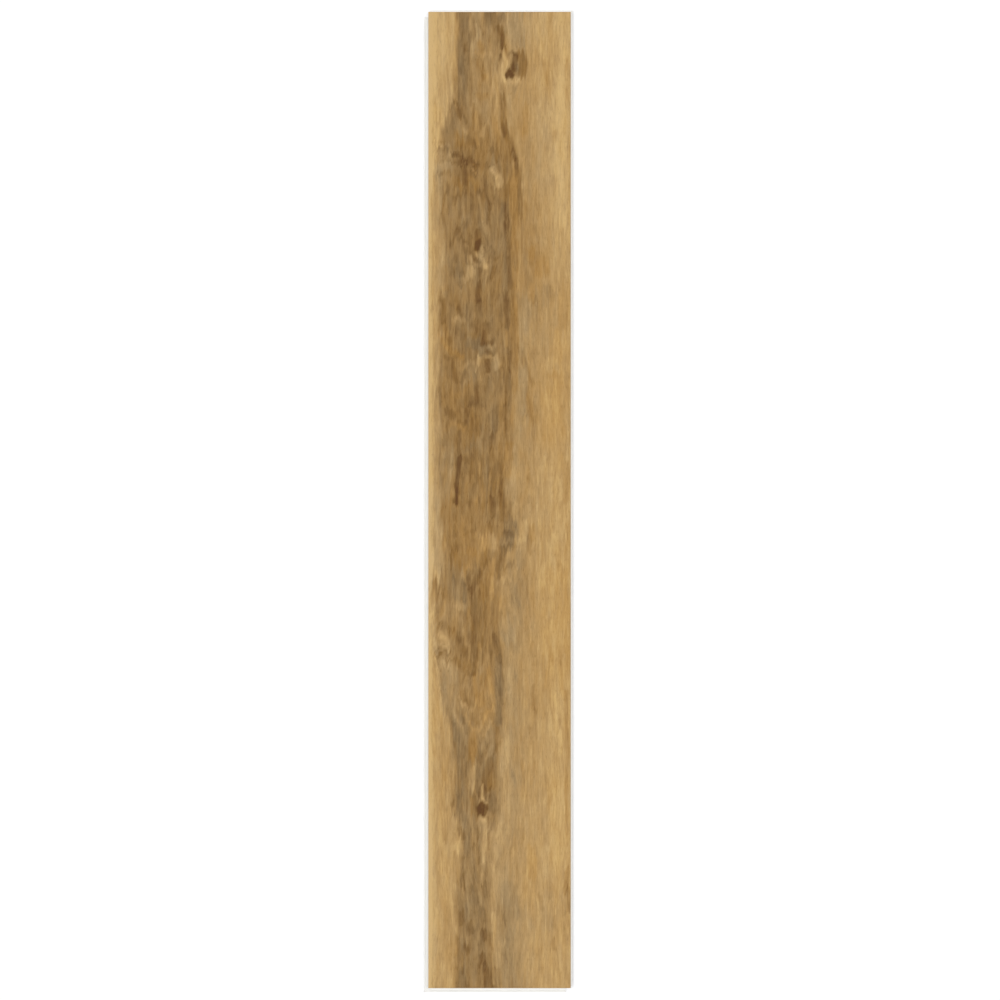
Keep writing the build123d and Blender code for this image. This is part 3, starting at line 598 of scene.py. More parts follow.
    (2.6, -0.11, -0.2, (50, 938), (49, 960)), (2, 0.08, 0.2, (61, 922), (63, 934)),
    (3.2, -0.08, -0.3, (62, 948), (62, 972)),
    (4.2, -0.14, 0.4, (76, 936), (75, 946), (70, 957), (74, 969)),
    (3, -0.05, 0.5, (80, 950), (82, 970)), (2.6, -0.1, 0.3, (76, 952), (77, 972)),
    (2.4, -0.1, 0.1, (30, 954), (31, 992)), (3.4, -0.08, 0.2, (25, 996), (22, 1036)),
    (3, -0.02, 0.7, (55, 982), (56, 1003)), (1.9, 0.28, 0, (68, 967), (68, 984)),
    (2, 0.1, 0, (70, 985), (74, 987)), (2, -0.12, 0.1, (64, 965), (64, 979)),
    (1.8, -0.18, 0, (72, 967), (72, 979)), (1.8, -0.13, 0, (78, 971), (78, 980)),
    (2, -0.09, 0.1, (77, 982), (76, 987)), (2, -0.14, 0.1, (61, 983), (60, 995)),
    (4.2, -0.52, 0.5, (65, 992), (65.5, 1000)), (3.8, -0.4, 0.4, (71, 991), (71, 999)),
    (5, -0.1, -0.3, (81, 981), (80, 997)), (2, 0.1, 0, (76, 998), (75, 1003)),
    (2, 0.12, 0, (72, 1006), (74, 1009)),
    (2.8, 0.17, 0, (71, 1008), (72, 1016), (71, 1028), (70, 1040), (70, 1062)),
    (2.4, 0.1, 0, (63, 1010), (69, 1009)), (2.6, 0.1, 0, (73, 1012), (73, 1026)),
    (3, -0.09, 0, (82, 1002), (82, 1021)),
    # near end
    (3, -0.16, 0.3, (44, 1022), (45, 1030)),
    (4.2, -0.09, -0.3, (50, 1020), (48, 1036), (49, 1048), (54, 1060), (57, 1075), (60, 1086)),
    (2.2, -0.1, 0, (55, 1043), (59, 1044)), (2.4, -0.12, 0.2, (63, 1018), (64, 1032)),
    (2, -0.12, 0, (64, 1042), (64, 1063)), (2, 0.05, 0, (54, 1026), (54, 1036)),
    (1.8, -0.12, 0, (75, 1027), (76, 1048)), (2, -0.09, 0, (75, 1064), (74, 1078)),
    (3, 0.07, 0, (91, 1017), (88, 1028)), (3, 0.06, 0, (86, 1036), (85, 1056)),
    (3, 0.16, 0, (40, 1034), (39, 1047)), (2, -0.1, 0.1, (35, 1026), (36, 1036)),
    (2, -0.13, 0.3, (44, 1054), (43, 1064)), (3.4, -0.14, 0.2, (34, 1051), (35, 1086)),
    (2, -0.1, 0.1, (32, 1026), (32, 1039)), (2.6, -0.1, 0.3, (44, 1074), (43, 1093)),
    (1.7, 0.17, 0, (68, 1076), (68, 1089)), (2.4, -0.06, -0.2, (93, 1045), (91, 1056)),
    (1.8, 0.09, 0, (106, 1047), (106, 1063)), (2.4, 0.06, 0, (81, 1064), (82, 1072)),
    (6, -0.02, 0.7, (128, 1046), (130, 1078)), (4, 0.04, -0.4, (147, 1044), (147, 1082)),
    (2.2, -0.09, 0.3, (54, 1093), (54, 1101)), (5, -0.07, -0.3, (57, 1097), (57, 1110)),
    (2.4, -0.08, -0.2, (62, 1109), (62, 1126)), (2.4, -0.1, 0, (72, 1087), (72, 1105)),
    (2.2, 0.06, 0, (67, 1098), (66, 1111)), (4, -0.15, 0.3, (41, 1125), (41, 1135)),
    (4, -0.1, 0.1, (46, 1139), (50, 1144)), (2.6, -0.14, 0.2, (54, 1138), (55, 1151)),
    (2, 0.07, 0, (58, 1131), (59, 1135)), (5, -0.04, -0.4, (52, 1114), (57, 1130)),
    (2.6, -0.12, 0, (70, 1109), (69, 1120)), (2.6, -0.08, 0.1, (66, 1122), (67, 1142)),
    (3.4, -0.06, -0.1, (88, 1098), (89, 1128)), (2.4, -0.09, 0, (72, 1122), (71, 1137)),
    (3.6, -0.22, 0.3, (70, 1149), (70, 1158)), (3, -0.12, 0.4, (77, 1153), (79, 1166)),
    (2.6, 0.12, 0, (81, 1127), (82, 1146)), (5, 0.05, 0, (86, 1154), (88, 1186)),
    (3.6, -0.16, 0.4, (47, 1168), (50, 1173)), (4, -0.07, -0.2, (40, 1158), (42, 1182)),
    (2.4, -0.05, 0.4, (37, 1156), (35, 1180)), (2.6, 0.08, 0, (59, 1162), (59, 1177)),
    (4, -0.08, -0.2, (66, 1162), (66, 1177)), (2.4, -0.12, 0.1, (65, 1178), (65, 1192)),
    (2.6, -0.07, 0, (60, 1148), (61, 1166)), (3.4, -0.1, 0.2, (84, 1194), (90, 1219)),
    (3.4, -0.23, 0.4, (68, 1179), (69, 1188)), (2.2, -0.23, 0.2, (71, 1190), (71, 1199)),
    (2.4, -0.08, 0.2, (64, 1191), (64, 1199)), (4.6, -0.15, 0.5, (74, 1202), (75, 1222)),
    (3.2, -0.2, 0.2, (81, 1215), (85, 1222)), (2, -0.12, 0.1, (43, 1191), (44, 1199)),
    (2.2, -0.1, 0, (33, 1184), (33, 1196)), (5, -0.07, -0.3, (42, 1200), (46, 1216)),
    (2, -0.1, 0.1, (50, 1214), (50, 1222)), (2, 0.06, 0, (54, 1199), (55, 1213)),
    (2.2, -0.17, -0.1, (94, 1131), (96, 1143)), (2, -0.1, -0.1, (98, 1157), (100, 1167)),
    (1.7, 0.1, 0, (96, 1162), (96, 1166)), (2.4, -0.1, -0.1, (95, 1177), (98, 1185)),
    (9, -0.07, -0.5, (102, 1095), (102, 1215)), (2.4, -0.05, -0.2, (113, 1106), (112, 1132)),
    (2.4, 0.07, 0, (92, 1080), (92, 1087)), (3.4, -0.13, 0.2, (140, 1105), (143, 1119)),
    (2.4, -0.1, 0.2, (155, 1092), (155, 1105)), (2, -0.07, 0.3, (158, 1131), (158, 1143)),
    (2, -0.12, 0.1, (158, 1156), (159, 1170)), (3, -0.08, 0.2, (173, 1100), (172, 1124)),
    (2.2, 0.06, 0, (125, 1188), (125, 1202)), (3, 0.05, 0, (166, 1174), (166, 1196)),
    (8, -0.01, -0.5, (148, 1105), (148, 1140)),
    # touches of the brush all over, to even out what is too dark or too pale
    (3, -0.13, 0, (27, 107), (29, 117)), (3, -0.07, 0, (9, 144), (8, 176)),
    (4, -0.07, 0, (9, 206), (9, 222)), (2.4, -0.09, 0, (91, 44), (92, 54)),
    (2, -0.07, 0, (97, 52), (101, 66)), (4, -0.06, 0, (70, 28), (77, 36)),
    (2.4, -0.07, 0, (97, 16), (98, 28)), (4, -0.06, 0, (84, 164), (84, 182)),
    (3.4, -0.09, 0, (109, 182), (113, 196)), (2.4, -0.07, 0, (78, 190), (81, 195)),
    (3, -0.06, 0, (50, 190), (54, 197)), (3, -0.06, 0, (79, 256), (79, 268)),
    (4, -0.06, 0, (38, 284), (46, 294)), (4, -0.06, 0, (52, 302), (64, 306)),
    (5, -0.05, 0.1, (118, 54), (119, 78)), (2, 0.13, 0, (96, 80), (97, 86)),
    (2.2, 0.1, 0, (106, 82), (110, 85)), (3, 0.07, 0, (88, 2), (88, 9)),
    (3, 0.07, 0, (89, 17), (91, 27)), (2.2, 0.07, 0, (48, 46), (48, 54)),
    (4, 0.08, 0, (82, 198), (84, 216)), (2.4, 0.07, 0, (119, 182), (121, 218)),
    (3, 0.06, 0, (73, 142), (72, 156)), (3, 0.06, 0, (154, 128), (154, 142)),
    (2.4, -0.07, 0, (4, 430), (4, 446)), (2.4, -0.07, 0, (3, 500), (3, 520)),
    (4, -0.06, 0, (57, 394), (63, 404)), (2.4, -0.07, 0, (94, 424), (95, 438)),
    (3, -0.06, 0, (98, 350), (84, 366)), (4, -0.05, 0, (112, 358), (124, 372)),
    (4, -0.05, 0, (131, 412), (132, 428)), (2.6, -0.06, 0, (112, 440), (120, 462)),
    (2.6, -0.05, 0, (124, 440), (131, 464)), (4, -0.06, 0, (78, 502), (82, 510)),
    (3, 0.06, 0, (66, 297), (68, 309)), (2.6, -0.08, 0, (72, 313), (72, 323)),
    (3, 0.06, 0, (12, 354), (14, 368)), (2.6, 0.08, 0, (100, 408), (100, 426)),
    (6, 0.05, 0, (153, 436), (158, 452)), (4, -0.07, 0, (48, 708), (54, 716)),
    (3, -0.06, 0, (96, 618), (98, 632)), (3, -0.06, 0, (128, 610), (128, 620)),
    (3, -0.05, 0, (147, 614), (149, 624)), (3.4, -0.06, 0, (127, 658), (129, 676)),
    (3, -0.08, 0, (89, 788), (91, 802)), (4, -0.07, 0, (95, 828), (98, 846)),
    (3, -0.06, 0, (86, 858), (96, 862)), (2.4, -0.05, 0, (5, 716), (4, 760)),
    (2.6, 0.09, 0, (99, 642), (100, 664)), (2.4, 0.07, 0, (87, 646), (86, 662)),
    (2.6, 0.07, 0, (87, 702), (88, 714)), (3, 0.06, 0, (31, 602), (34, 612)),
    (5, 0.05, 0, (26, 752), (40, 758)), (2.4, 0.07, 0, (16, 792), (17, 800)),
    (2.6, 0.07, 0, (44, 866), (48, 876)), (2.6, 0.06, 0, (66, 880), (69, 890)),
    (3, 0.05, 0, (152, 682), (142, 722)), (3, -0.06, 0, (55, 912), (58, 924)),
    (3, -0.06, 0, (64, 974), (70, 988)), (4, -0.05, 0, (22, 1012), (22, 1034)),
    (5, -0.05, 0, (112, 1024), (118, 1038)), (5, -0.05, 0, (123, 1096), (128, 1114)),
    (4, -0.06, 0, (78, 1150), (83, 1166)), (4, -0.05, 0, (14, 1160), (15, 1174)),
    (5, -0.05, 0, (136, 1176), (139, 1192)), (2.6, 0.08, 0, (47, 958), (57, 972)),
    (2.2, 0.08, 0, (73, 998), (73, 1006)), (2.4, 0.07, 0, (36, 1034), (37, 1044)),
    (2.6, 0.06, 0, (24, 1100), (33, 1116)), (4, 0.05, 0, (38, 1146), (42, 1158)),
    (3, 0.08, 0, (66, 1168), (68, 1180)), (2.6, 0.08, 0, (33, 1186), (35, 1194)),
    (2.4, 0.06, 0, (118, 1100), (117, 1118)), (2.4, 0.06, 0, (88, 904), (87, 922)),
    (2.6, -0.1, -0.2, (111, 56), (112, 80)), (2.4, -0.12, 0, (106, 66), (106, 80)),
    (3, 0.03, -0.1, (98, 56), (99, 68)), (1.8, 0.12, 0, (110, 81), (112, 83)),
    (4, -0.05, 0.1, (119, 54), (119, 76)), (8, -0.03, 0, (108, 18), (116, 34)),
    (3, -0.06, 0, (20, 126), (14, 140)), (3, -0.05, 0, (126, 66), (127, 86)),
    (6, -0.04, 0, (160, 50), (162, 62)), (3, -0.05, 0, (125, 130), (126, 142)),
    (5, 0.04, 0, (138, 44), (146, 56)), (5, -0.06, 0.1, (46, 190), (58, 194)),
    (4, -0.06, 0.1, (48, 200), (55, 206)), (3, 0.08, 0, (79, 198), (85, 204)),
    (2.4, 0.07, 0, (86, 204), (87, 218)), (3, 0, 0.4, (95, 228), (96, 256)),
    (4, 0.05, 0, (8, 198), (26, 216)), (5, -0.05, 0, (108, 222), (118, 228)),
    (6, 0.05, 0, (80, 242), (92, 254)), (4, 0.05, 0, (85, 288), (90, 302)),
    (2.8, -0.12, 0.1, (69, 398), (69, 414)), (6, -0.05, 0.3, (60, 418), (70, 424)),
    (4, 0.05, 0, (16, 402), (24, 424)), (3, -0.06, 0, (7, 440), (9, 456)),
    (6, 0.04, 0, (160, 442), (172, 446)), (3, 0.05, 0, (124, 490), (127, 502)),
    (1.8, -0.16, 0.1, (35.5, 592), (35.5, 612)), (2.4, -0.05, 0, (38, 588), (38, 604)),
    (4, -0.06, 0, (74, 612), (86, 616)), (4, -0.06, 0, (98, 672), (110, 668)),
    (5, -0.05, 0, (132, 648), (152, 656)), (3, 0.07, 0, (94, 667), (112, 662), (126, 656)),
    (2.4, 0.06, 0, (90, 676), (96, 662)), (4, 0.05, 0, (157, 660), (155, 694)),
    (6, 0.05, 0, (34, 738), (44, 756)), (3, 0.06, 0, (13, 764), (17, 770)),
    (2, -0.1, 0, (27, 792), (25, 803)), (1.6, -0.1, 0, (52, 790), (52, 810)),
    (5, -0.06, 0, (44, 782), (62, 786)), (5, 0.04, 0, (24, 788), (40, 804)),
    (4, -0.06, 0, (14, 852), (16, 866)), (6, -0.04, 0, (133, 866), (128, 902)),
    (3, -0.06, 0, (28, 926), (30, 952)), (2.4, 0.07, 0, (90, 944), (86, 982)),
    (2, 0.07, 0, (53, 950), (53, 970)), (3, -0.07, 0, (44, 972), (51, 1000)),
    (3, -0.07, 0, (31, 1004), (32, 1020)), (3, 0.06, 0, (38, 1000), (42, 1016)),
    (3, -0.05, 0, (94, 1020), (96, 1034)), (4, -0.05, 0, (13, 1110), (15, 1124)),
    (3, -0.07, 0, (169, 1142), (172, 1162)), (4, -0.05, 0, (92, 1176), (93, 1190)),
    (3, -0.05, 0, (31, 1150), (31, 1205)), (4, -0.05, 0, (60, 1202), (64, 1212)),
    (5, -0.04, 0, (146, 1196), (150, 1208)), (2.4, -0.06, 0, (99, 140), (100, 154)),
    (3, -0.06, 0, (90, 160), (91, 174)), (3, -0.06, 0, (94, 42), (98, 54)),
    (2.4, 0.06, 0, (80, 72), (84, 58)), (3.4, -0.05, 0, (139, 242), (141, 254)),
    (3, -0.06, 0, (85, 318), (86, 330)), (4, -0.05, 0, (40, 446), (46, 456)),
    (5, -0.04, 0, (149, 460), (151, 474)), (6, -0.04, 0, (138, 544), (146, 548)),
    (3, -0.05, 0, (109, 556), (110, 566)), (5, -0.05, 0, (131, 580), (134, 594)),
    (5, -0.05, 0, (142, 596), (142, 604)), (2.4, 0.05, 0, (100, 634), (101, 648)),
    (3, -0.05, 0, (165, 692), (166, 708)), (3, -0.05, 0, (104, 722), (104, 740)),
    (3, -0.05, 0, (22, 724), (22, 750)), (3.4, 0.05, 0, (146, 790), (148, 804)),
    (3, -0.05, 0, (155, 798), (155, 806)), (2.6, 0.06, 0, (88, 800), (90, 812)),
    (3, -0.05, 0, (27, 826), (28, 840)), (3, -0.05, 0, (61, 882), (62, 896)),
    (4, -0.04, 0, (104, 896), (108, 906)), (3, -0.05, 0, (20, 1056), (21, 1072)),
    (2.4, -0.05, 0, (168, 1080), (169, 1088)), (3, -0.05, 0, (64, 1142), (69, 1150)),
]


def smooth(share):
    share = np.clip(share, 0, 1)
    return share * share * (3 - 2 * share)


def evenNoise(across, along, width, length, seed, octaves):
    # noise with a mean of 0 and a spread of 1, each octave at half the size of the last
    places = zip(across / width, along / length)
    raw = np.array([noise.fractal((u, v, seed), 1.0, 2.0, octaves) for u, v in places])
    return (raw - raw.mean()) / raw.std()


def noiseLayers(across, along, layers, octaves=2):
    total = np.zeros(len(across))
    for amount, width, length, seed in layers:
        total += amount * evenNoise(across, along, width, length, seed, octaves)
    return total


def edgeAt(along, edge):
    return np.interp(along, *zip(*edge))


def within(distance, softness):
    # 1 well inside an edge, a half on it, 0 outside
    return smooth(distance / softness / 2 + 0.5)


def roundCorners(points, rounds=2):
    # each round cuts the corners off, a quarter of the way along their sides
    points = np.array(points, dtype=float)
    for _ in range(rounds):
        first, last = points[:-1], points[1:]
        cut = np.stack((0.75 * first + 0.25 * last, 0.25 * first + 0.75 * last), axis=1)
        points = np.concatenate((points[:1], cut.reshape(-1, 2), points[-1:]))
    return points


def distanceTo(points, across, along):
    distance = np.full(len(across), np.inf)
    for start, end in zip(points[:-1], points[1:]):
        run = end - start
        aside, down = across - start[0], along - start[1]
        share = np.clip((aside * run[0] + down * run[1]) / (run @ run), 0, 1)
        distance = np.minimum(distance, np.hypot(aside - share * run[0], down - share * run[1]))
    return distance


# patches and strokes are half as strong at their half width

def addPatches(tone, warmth, across, along):
    fade, corners = figure["patchFade"], figure["patchCorners"]
    for patchAcross, patchAlong, halfWidth, halfLength, dark, warm in patches:
        aside, past = (across - patchAcross) / halfWidth, (along - patchAlong) / halfLength
        strength = within(1 - (aside ** corners + past ** corners) ** (1 / corners), fade)
        tone += dark * strength
        warmth += figure["warmGain"] * warm * strength


def addStrokes(tone, warmth, across, along):
    fade = figure["strokeFade"]
    for halfWidth, dark, warm, *points in strokes:
        line = roundCorners(points)
        reach = (1 + fade) * halfWidth
        low, high = line.min(axis=0) - reach, line.max(axis=0) + reach
        near = (across > low[0]) & (across < high[0]) & (along > low[1]) & (along < high[1])
        near = np.flatnonzero(near)
        strength = within(1 - distanceTo(line, across[near], along[near]) / halfWidth, fade)
        tone[near] += figure["strokeGain"] * dark * strength
        warmth[near] += figure["warmGain"] * warm * strength


def drawFigure(piece):
    places = np.empty(3 * len(piece.data.vertices))
    piece.data.vertices.foreach_get("co", places)
    across = (places[0::3] - face["left"]) / millimetre + figure["overhang"][0]
    along = (face["far"] - places[1::3]) / millimetre + figure["overhang"][1]

    # fibres flow round the bulges
    flow = across + noiseLayers(across, along, figure["sway"])
    for bulgeAcross, bulgeAlong, halfWidth, halfLength, push in bulges:
        share = np.hypot((across - bulgeAcross) / halfWidth, (along - bulgeAlong) / halfLength)
        flow = flow - push * smooth(1 - share) * (across - bulgeAcross)

    # drawn edges are ragged: single fibres run past each other
    rag = noiseLayers(flow, along, figure["ragged"], octaves=1)
    ragged = along + rag
    stray = across + noiseLayers(flow, along, figure["wander"])

    # sapwood, shoulder and heartwood
    heart = within(stray - edgeAt(ragged, heartLeftEdge), figure["leftSoft"])
    heart = heart * within(edgeAt(ragged, heartRightEdge) - stray, figure["rightSoft"])
    onLeft = stray < face["width"] / 3  # the change lies under the heartwood
    shoulder = within(edgeAt(ragged, shoulderEdge) - stray, figure["shoulderSoft"]) * ~onLeft
    sap = np.where(onLeft, figure["sapLeft"], figure["sapRight"])
    tone = sap + shoulder * (figure["shoulder"] - sap)
    tone = tone + heart * (edgeAt(along, heartTones) - tone)
    warmth = figure["warmth"] + noiseLayers(flow, along, figure["warmBlotches"])

    # stripes, lines, flecks and single fibres of the grain
    grain = noiseLayers(flow, along, figure["grain"])
    fibre = figure["fibreStep"] * np.floor(flow / figure["fibreWidth"])
    grain += noiseLayers(fibre, along, figure["fibres"])
    tone = tone + grain * (figure["sapGrain"] + (1 - figure["sapGrain"]) * heart)

    addPatches(tone, warmth, stray, ragged)
    addStrokes(tone, warmth, stray, along + figure["strokeRag"] * rag)
    tone = np.clip(tone, *figure["toneRange"])

    for name, values in (("tone", tone), ("warmth", warmth), ("flow", flow)):
        layer = piece.data.attributes.new(name, "FLOAT", "POINT")
        layer.data.foreach_set("value", values.astype(np.float32))
    print("figure drawn:", len(strokes), "strokes, mean tone", round(float(tone.mean()), 3))
    return across, along, tone, flow


# Relief: the darker grain is pressed into the face

def embossFace(piece, across, along, tone, flow):
    depth = np.clip(plank["reliefTone"] - tone + noiseLayers(flow, along, plank["grooves"]), 0, 1)
    sides = np.minimum(across, face["width"] - across)
    ends = np.minimum(along, face["length"] - along)
    inner = smooth((np.minimum(sides, ends) - plank["faceBevel"]) / plank["plainEdge"])
    pressed = piece.vertex_groups.new(name="pressed")
    for vertex, weight in zip(piece.data.vertices, depth * inner):
        if weight > 0 and onTop(vertex.co):
            pressed.add([vertex.index], weight, "REPLACE")
    selectOnly(piece)
    relief = piece.modifiers.new("relief", "DISPLACE")
    relief.direction = "Z"
    relief.mid_level = 0.0
    relief.strength = -plank["reliefDepth"] * millimetre
    relief.vertex_group = pressed.name
    bpy.ops.object.modifier_apply(modifier=relief.name)
    piece.vertex_groups.clear()
    bpy.ops.object.shade_smooth_by_angle(angle=radians(plank["smoothAngle"]))
    print("relief pressed in")


# Node helpers: a socket is linked, anything else becomes the input's own value

def feed(socket, value):
    if isinstance(value, bpy.types.NodeSocket):
        socket.id_data.links.new(value, socket)
    else:
        socket.default_value = value


def calc(tree, operation, first, second=0.0, third=0.0):
    node = tree.nodes.new("ShaderNodeMath")
    node.operation = operation
    for socket, value in zip(node.inputs, (first, second, third)):
        feed(socket, value)
    return node.outputs[0]


def remap(tree, value, low, high, toLow=0.0, toHigh=1.0):
    node = tree.nodes.new("ShaderNodeMapRange")
    for socket, number in zip(node.inputs, (value, low, high, toLow, toHigh)):
        feed(socket, number)
    return node.outputs[0]


def attribute(tree, name):
    node = tree.nodes.new("ShaderNodeAttribute")
    node.attribute_name = name
    return node.outputs["Fac"]


def fibreNoise(tree, across, along, width, length, roughness=0.5):
    # noise about 0, with fibres of this width and length in millimetres
    place = tree.nodes.new("ShaderNodeCombineXYZ")
    feed(place.inputs[0], calc(tree, "DIVIDE", across, width))
    feed(place.inputs[1], calc(tree, "DIVIDE", along, length))
    node = tree.nodes.new("ShaderNodeTexNoise")
    node.noise_dimensions = "2D"
    feed(node.inputs["Vector"], place.outputs[0])
    node.inputs["Scale"].default_value = 1.0
    node.inputs["Roughness"].default_value = roughness
    return calc(tree, "SUBTRACT", node.outputs[0], 0.5)


def fromScreen(colour):
    # screen colour, 0 to 255, to scene linear
    linear = []
    for value in colour:
        share = value / 255
        linear.append(share / 12.92 if share <= 0.04045 else ((share + 0.055) / 1.055) ** 2.4)
    return (*linear, 1.0)


def toneRamp(tree, tone, stops):
    node = tree.nodes.new("ShaderNodeValToRGB")
    feed(node.inputs[0], tone)
    ends = node.color_ramp.elements
    for place, colour in stops[1:-1]:
        ends.new(place).color = fromScreen(colour)
    ends[0].color = fromScreen(stops[0][1])
    ends[-1].color = fromScreen(stops[-1][1])
    return node.outputs[0]


def newMaterial(name):
    material = bpy.data.materials.new(name)
    material.use_nodes = True
    tree = material.node_tree
    return material, tree, tree.nodes["Principled BSDF"]


def objectPosition(tree):
    return tree.nodes.new("ShaderNodeTexCoord").outputs["Object"]


# Printed film under a low-gloss wear layer

film = {
    # tone and screen colour: the cool ramp is greyed wood, the warm one honey
    "cool": [(0.0, (90, 61, 26)), (0.2, (112, 84, 47)), (0.4, (133, 107, 69)), (0.6, (157, 129, 87)),
             (0.8, (182, 151, 104)), (1.0, (207, 174, 121))],
    "warm": [(0.0, (93, 58, 18)), (0.2, (117, 81, 34)), (0.4, (139, 102, 48)), (0.6, (164, 124, 67)),
             (0.8, (187, 147, 87)), (1.0, (208, 172, 109))],
    "fibre": 0.29,           # how much the fine fibres change the tone
    "fibreSize": (0.9, 18),  # mm across and along
    "fibreFuzz": 0.6,        # roughness of their noise
    "pore": 0.14,
    "poreSize": (0.5, 6),
    "poreCut": (0.1, 0.22),  # only the peaks of the noise become pores
    "poreDepth": 0.06,       # mm
    "roughness": 0.52,
    "roughnessPlay": 0.25,
    "specular": 0.18,
    "steepest": 0.5,         # cosine of the steepest slope that carries film
}


def makeFilm():
    material, tree, shader = newMaterial("printedFilm")
    place = tree.nodes.new("ShaderNodeSeparateXYZ")
    feed(place.inputs[0], objectPosition(tree))
    along = calc(tree, "DIVIDE", place.outputs[1], millimetre)
    flow = attribute(tree, "flow")
    fibres = fibreNoise(tree, flow, along, *film["fibreSize"], film["fibreFuzz"])
    pores = remap(tree, fibreNoise(tree, flow, along, *film["poreSize"]), *film["poreCut"])
    tone = calc(tree, "MULTIPLY_ADD", fibres, film["fibre"], attribute(tree, "tone"))
    tone = calc(tree, "MULTIPLY_ADD", pores, -film["pore"], tone)
    cool = toneRamp(tree, tone, film["cool"])
    warm = toneRamp(tree, tone, film["warm"])
    # a mix node keeps its colours in inputs 6 and 7 and output 2
    blend = tree.nodes.new("ShaderNodeMix")
    blend.data_type = "RGBA"
    feed(blend.inputs[0], remap(tree, attribute(tree, "warmth"), -1.0, 1.0))
    feed(blend.inputs[6], cool)
    feed(blend.inputs[7], warm)
    feed(shader.inputs["Base Color"], blend.outputs[2])
    gloss = calc(tree, "MULTIPLY_ADD", fibres, film["roughnessPlay"], film["roughness"])
    feed(shader.inputs["Roughness"], gloss)
    shader.inputs["Specular IOR Level"].default_value = film["specular"]
    bump = tree.nodes.new("ShaderNodeBump")
    bump.inputs["Distance"].default_value = film["poreDepth"] * millimetre
    feed(bump.inputs["Height"], calc(tree, "SUBTRACT", fibres, pores))
    feed(shader.inputs["Normal"], bump.outputs[0])
    return material


# Stone-filled vinyl of the milled edges and the underside

core = {
    "pale": (247, 246, 242),
    "dark": (237, 235, 230),
    "speck": 0.6,        # mm
    "speckDetail": 3.0,
    "roughness": 0.62,
    "specular": 0.3,
    "millMarks": 0.02,   # mm
}


def makeCore():
    material, tree, shader = newMaterial("stoneCore")
    scaled = tree.nodes.new("ShaderNodeMapping")
    feed(scaled.inputs["Vector"], objectPosition(tree))
    scaled.inputs["Scale"].default_value = [1 / (core["speck"] * millimetre)] * 3
    grit = tree.nodes.new("ShaderNodeTexNoise")
    feed(grit.inputs["Vector"], scaled.outputs[0])
    grit.inputs["Scale"].default_value = 1.0
    grit.inputs["Detail"].default_value = core["speckDetail"]
    colour = toneRamp(tree, grit.outputs[0], [(0, core["dark"]), (1, core["pale"])])
    feed(shader.inputs["Base Color"], colour)
    shader.inputs["Roughness"].default_value = core["roughness"]
    shader.inputs["Specular IOR Level"].default_value = core["specular"]
    bump = tree.nodes.new("ShaderNodeBump")
    bump.inputs["Distance"].default_value = core["millMarks"] * millimetre
    feed(bump.inputs["Height"], grit.outputs[0])
    feed(shader.inputs["Normal"], bump.outputs[0])
    return material


def isFilm(polygon):
    # the face and its bevels
    return polygon.normal.z > film["steepest"] and polygon.center.z > topLevel - bevel


body = makeBody()
embossFace(body, *drawFigure(body))
body.data.materials.append(makeCore())
body.data.materials.append(makeFilm())
selectFaces(body, isFilm)
body.active_material_index = 1  # the film
bpy.ops.object.material_slot_assign()
# the long milled faces would shade unevenly if they were smooth
bpy.ops.mesh.select_all(action="INVERT")
bpy.ops.mesh.faces_shade_flat()
bpy.ops.object.mode_set(mode="OBJECT")
print("film and core in place")

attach(body, "root")
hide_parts(plank["node"])


# Stage: white floor, soft light from both sides, camera straight above

stage = {
    "floorSize": 40.0,     # metres
    "floorDrop": 0.0002,   # metres, so that floor and underside don't flicker
    "floorWhite": (0.86, 0.86, 0.86, 1),
    "floorRoughness": 0.8,
    "floorSpecular": 0.2,
    "glow": 0.19,          # brings the lit floor to white, so that only the shadow shows on it
    "white": (1, 1, 1, 1),
    "world": 0.40,
    "lampLeft": 1.41,      # sun strengths
    "lampRight": 0.86,
    "lampHeight": 2.0,     # metres
    "lampLean": 34,        # degrees from straight above
    "lampSoftness": 50,    # degrees across, as the plank sees it
    "lens": 85,            # mm
    "frameWidth": 1.2486,  # metres across the picture at the face
    "offCentre": (0.0006, 0.0),  # metres, of the camera
}


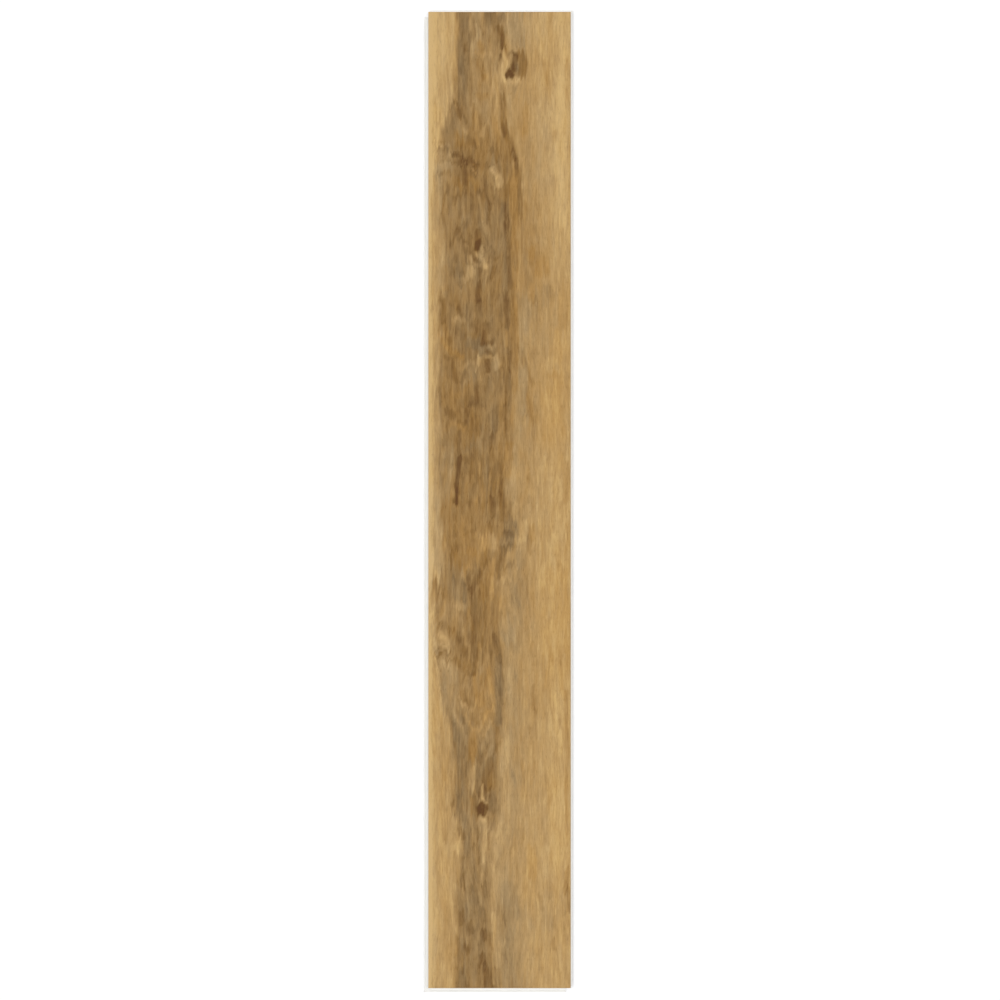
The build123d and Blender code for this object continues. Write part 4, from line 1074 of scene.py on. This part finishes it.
def seenDirectly(tree):
    # 1 for the camera, and for what mirrors or lets through its view
    path = tree.nodes.new("ShaderNodeLightPath")
    seen = calc(tree, "MAXIMUM", path.outputs["Is Camera Ray"], path.outputs["Is Glossy Ray"])
    return calc(tree, "MAXIMUM", seen, path.outputs["Is Transmission Ray"])


def makeFloor():
    bpy.ops.object.select_all(action="DESELECT")
    bpy.ops.mesh.primitive_plane_add(size=stage["floorSize"], location=(0, 0, -stage["floorDrop"]))
    floor = bpy.context.active_object
    floor.name = "floor"
    material, tree, shader = newMaterial("whiteFloor")
    shader.inputs["Base Color"].default_value = stage["floorWhite"]
    shader.inputs["Roughness"].default_value = stage["floorRoughness"]
    shader.inputs["Specular IOR Level"].default_value = stage["floorSpecular"]
    shader.inputs["Emission Color"].default_value = stage["white"]
    glow = calc(tree, "MULTIPLY", seenDirectly(tree), stage["glow"])
    feed(shader.inputs["Emission Strength"], glow)
    floor.data.materials.append(material)


def makeWorld():
    world = bpy.data.worlds.new("studio")
    bpy.context.scene.world = world
    world.use_nodes = True
    tree = world.node_tree
    sky = tree.nodes["Background"]
    sky.inputs["Color"].default_value = stage["white"]
    feed(sky.inputs["Strength"], remap(tree, seenDirectly(tree), 0.0, 1.0, stage["world"], 1.0))


def makeLamp(name, side):
    lean = side * radians(stage["lampLean"])
    bpy.ops.object.light_add(type="SUN", location=(side, 0, stage["lampHeight"]), rotation=(0, lean, 0))
    lamp = bpy.context.active_object
    lamp.name = name
    lamp.data.energy = stage[name]
    lamp.data.angle = radians(stage["lampSoftness"])


def makeCamera():
    data = bpy.data.cameras.new("camera")
    data.lens = stage["lens"]
    camera = bpy.data.objects.new("camera", data)
    distance = stage["frameWidth"] * stage["lens"] / data.sensor_width
    camera.location = (*stage["offCentre"], topLevel + distance)
    bpy.context.scene.collection.objects.link(camera)
    bpy.context.scene.camera = camera


bpy.context.scene.view_settings.view_transform = "Standard"
makeFloor()
makeWorld()
makeLamp("lampLeft", -1)
makeLamp("lampRight", 1)
makeCamera()
print("stage set")
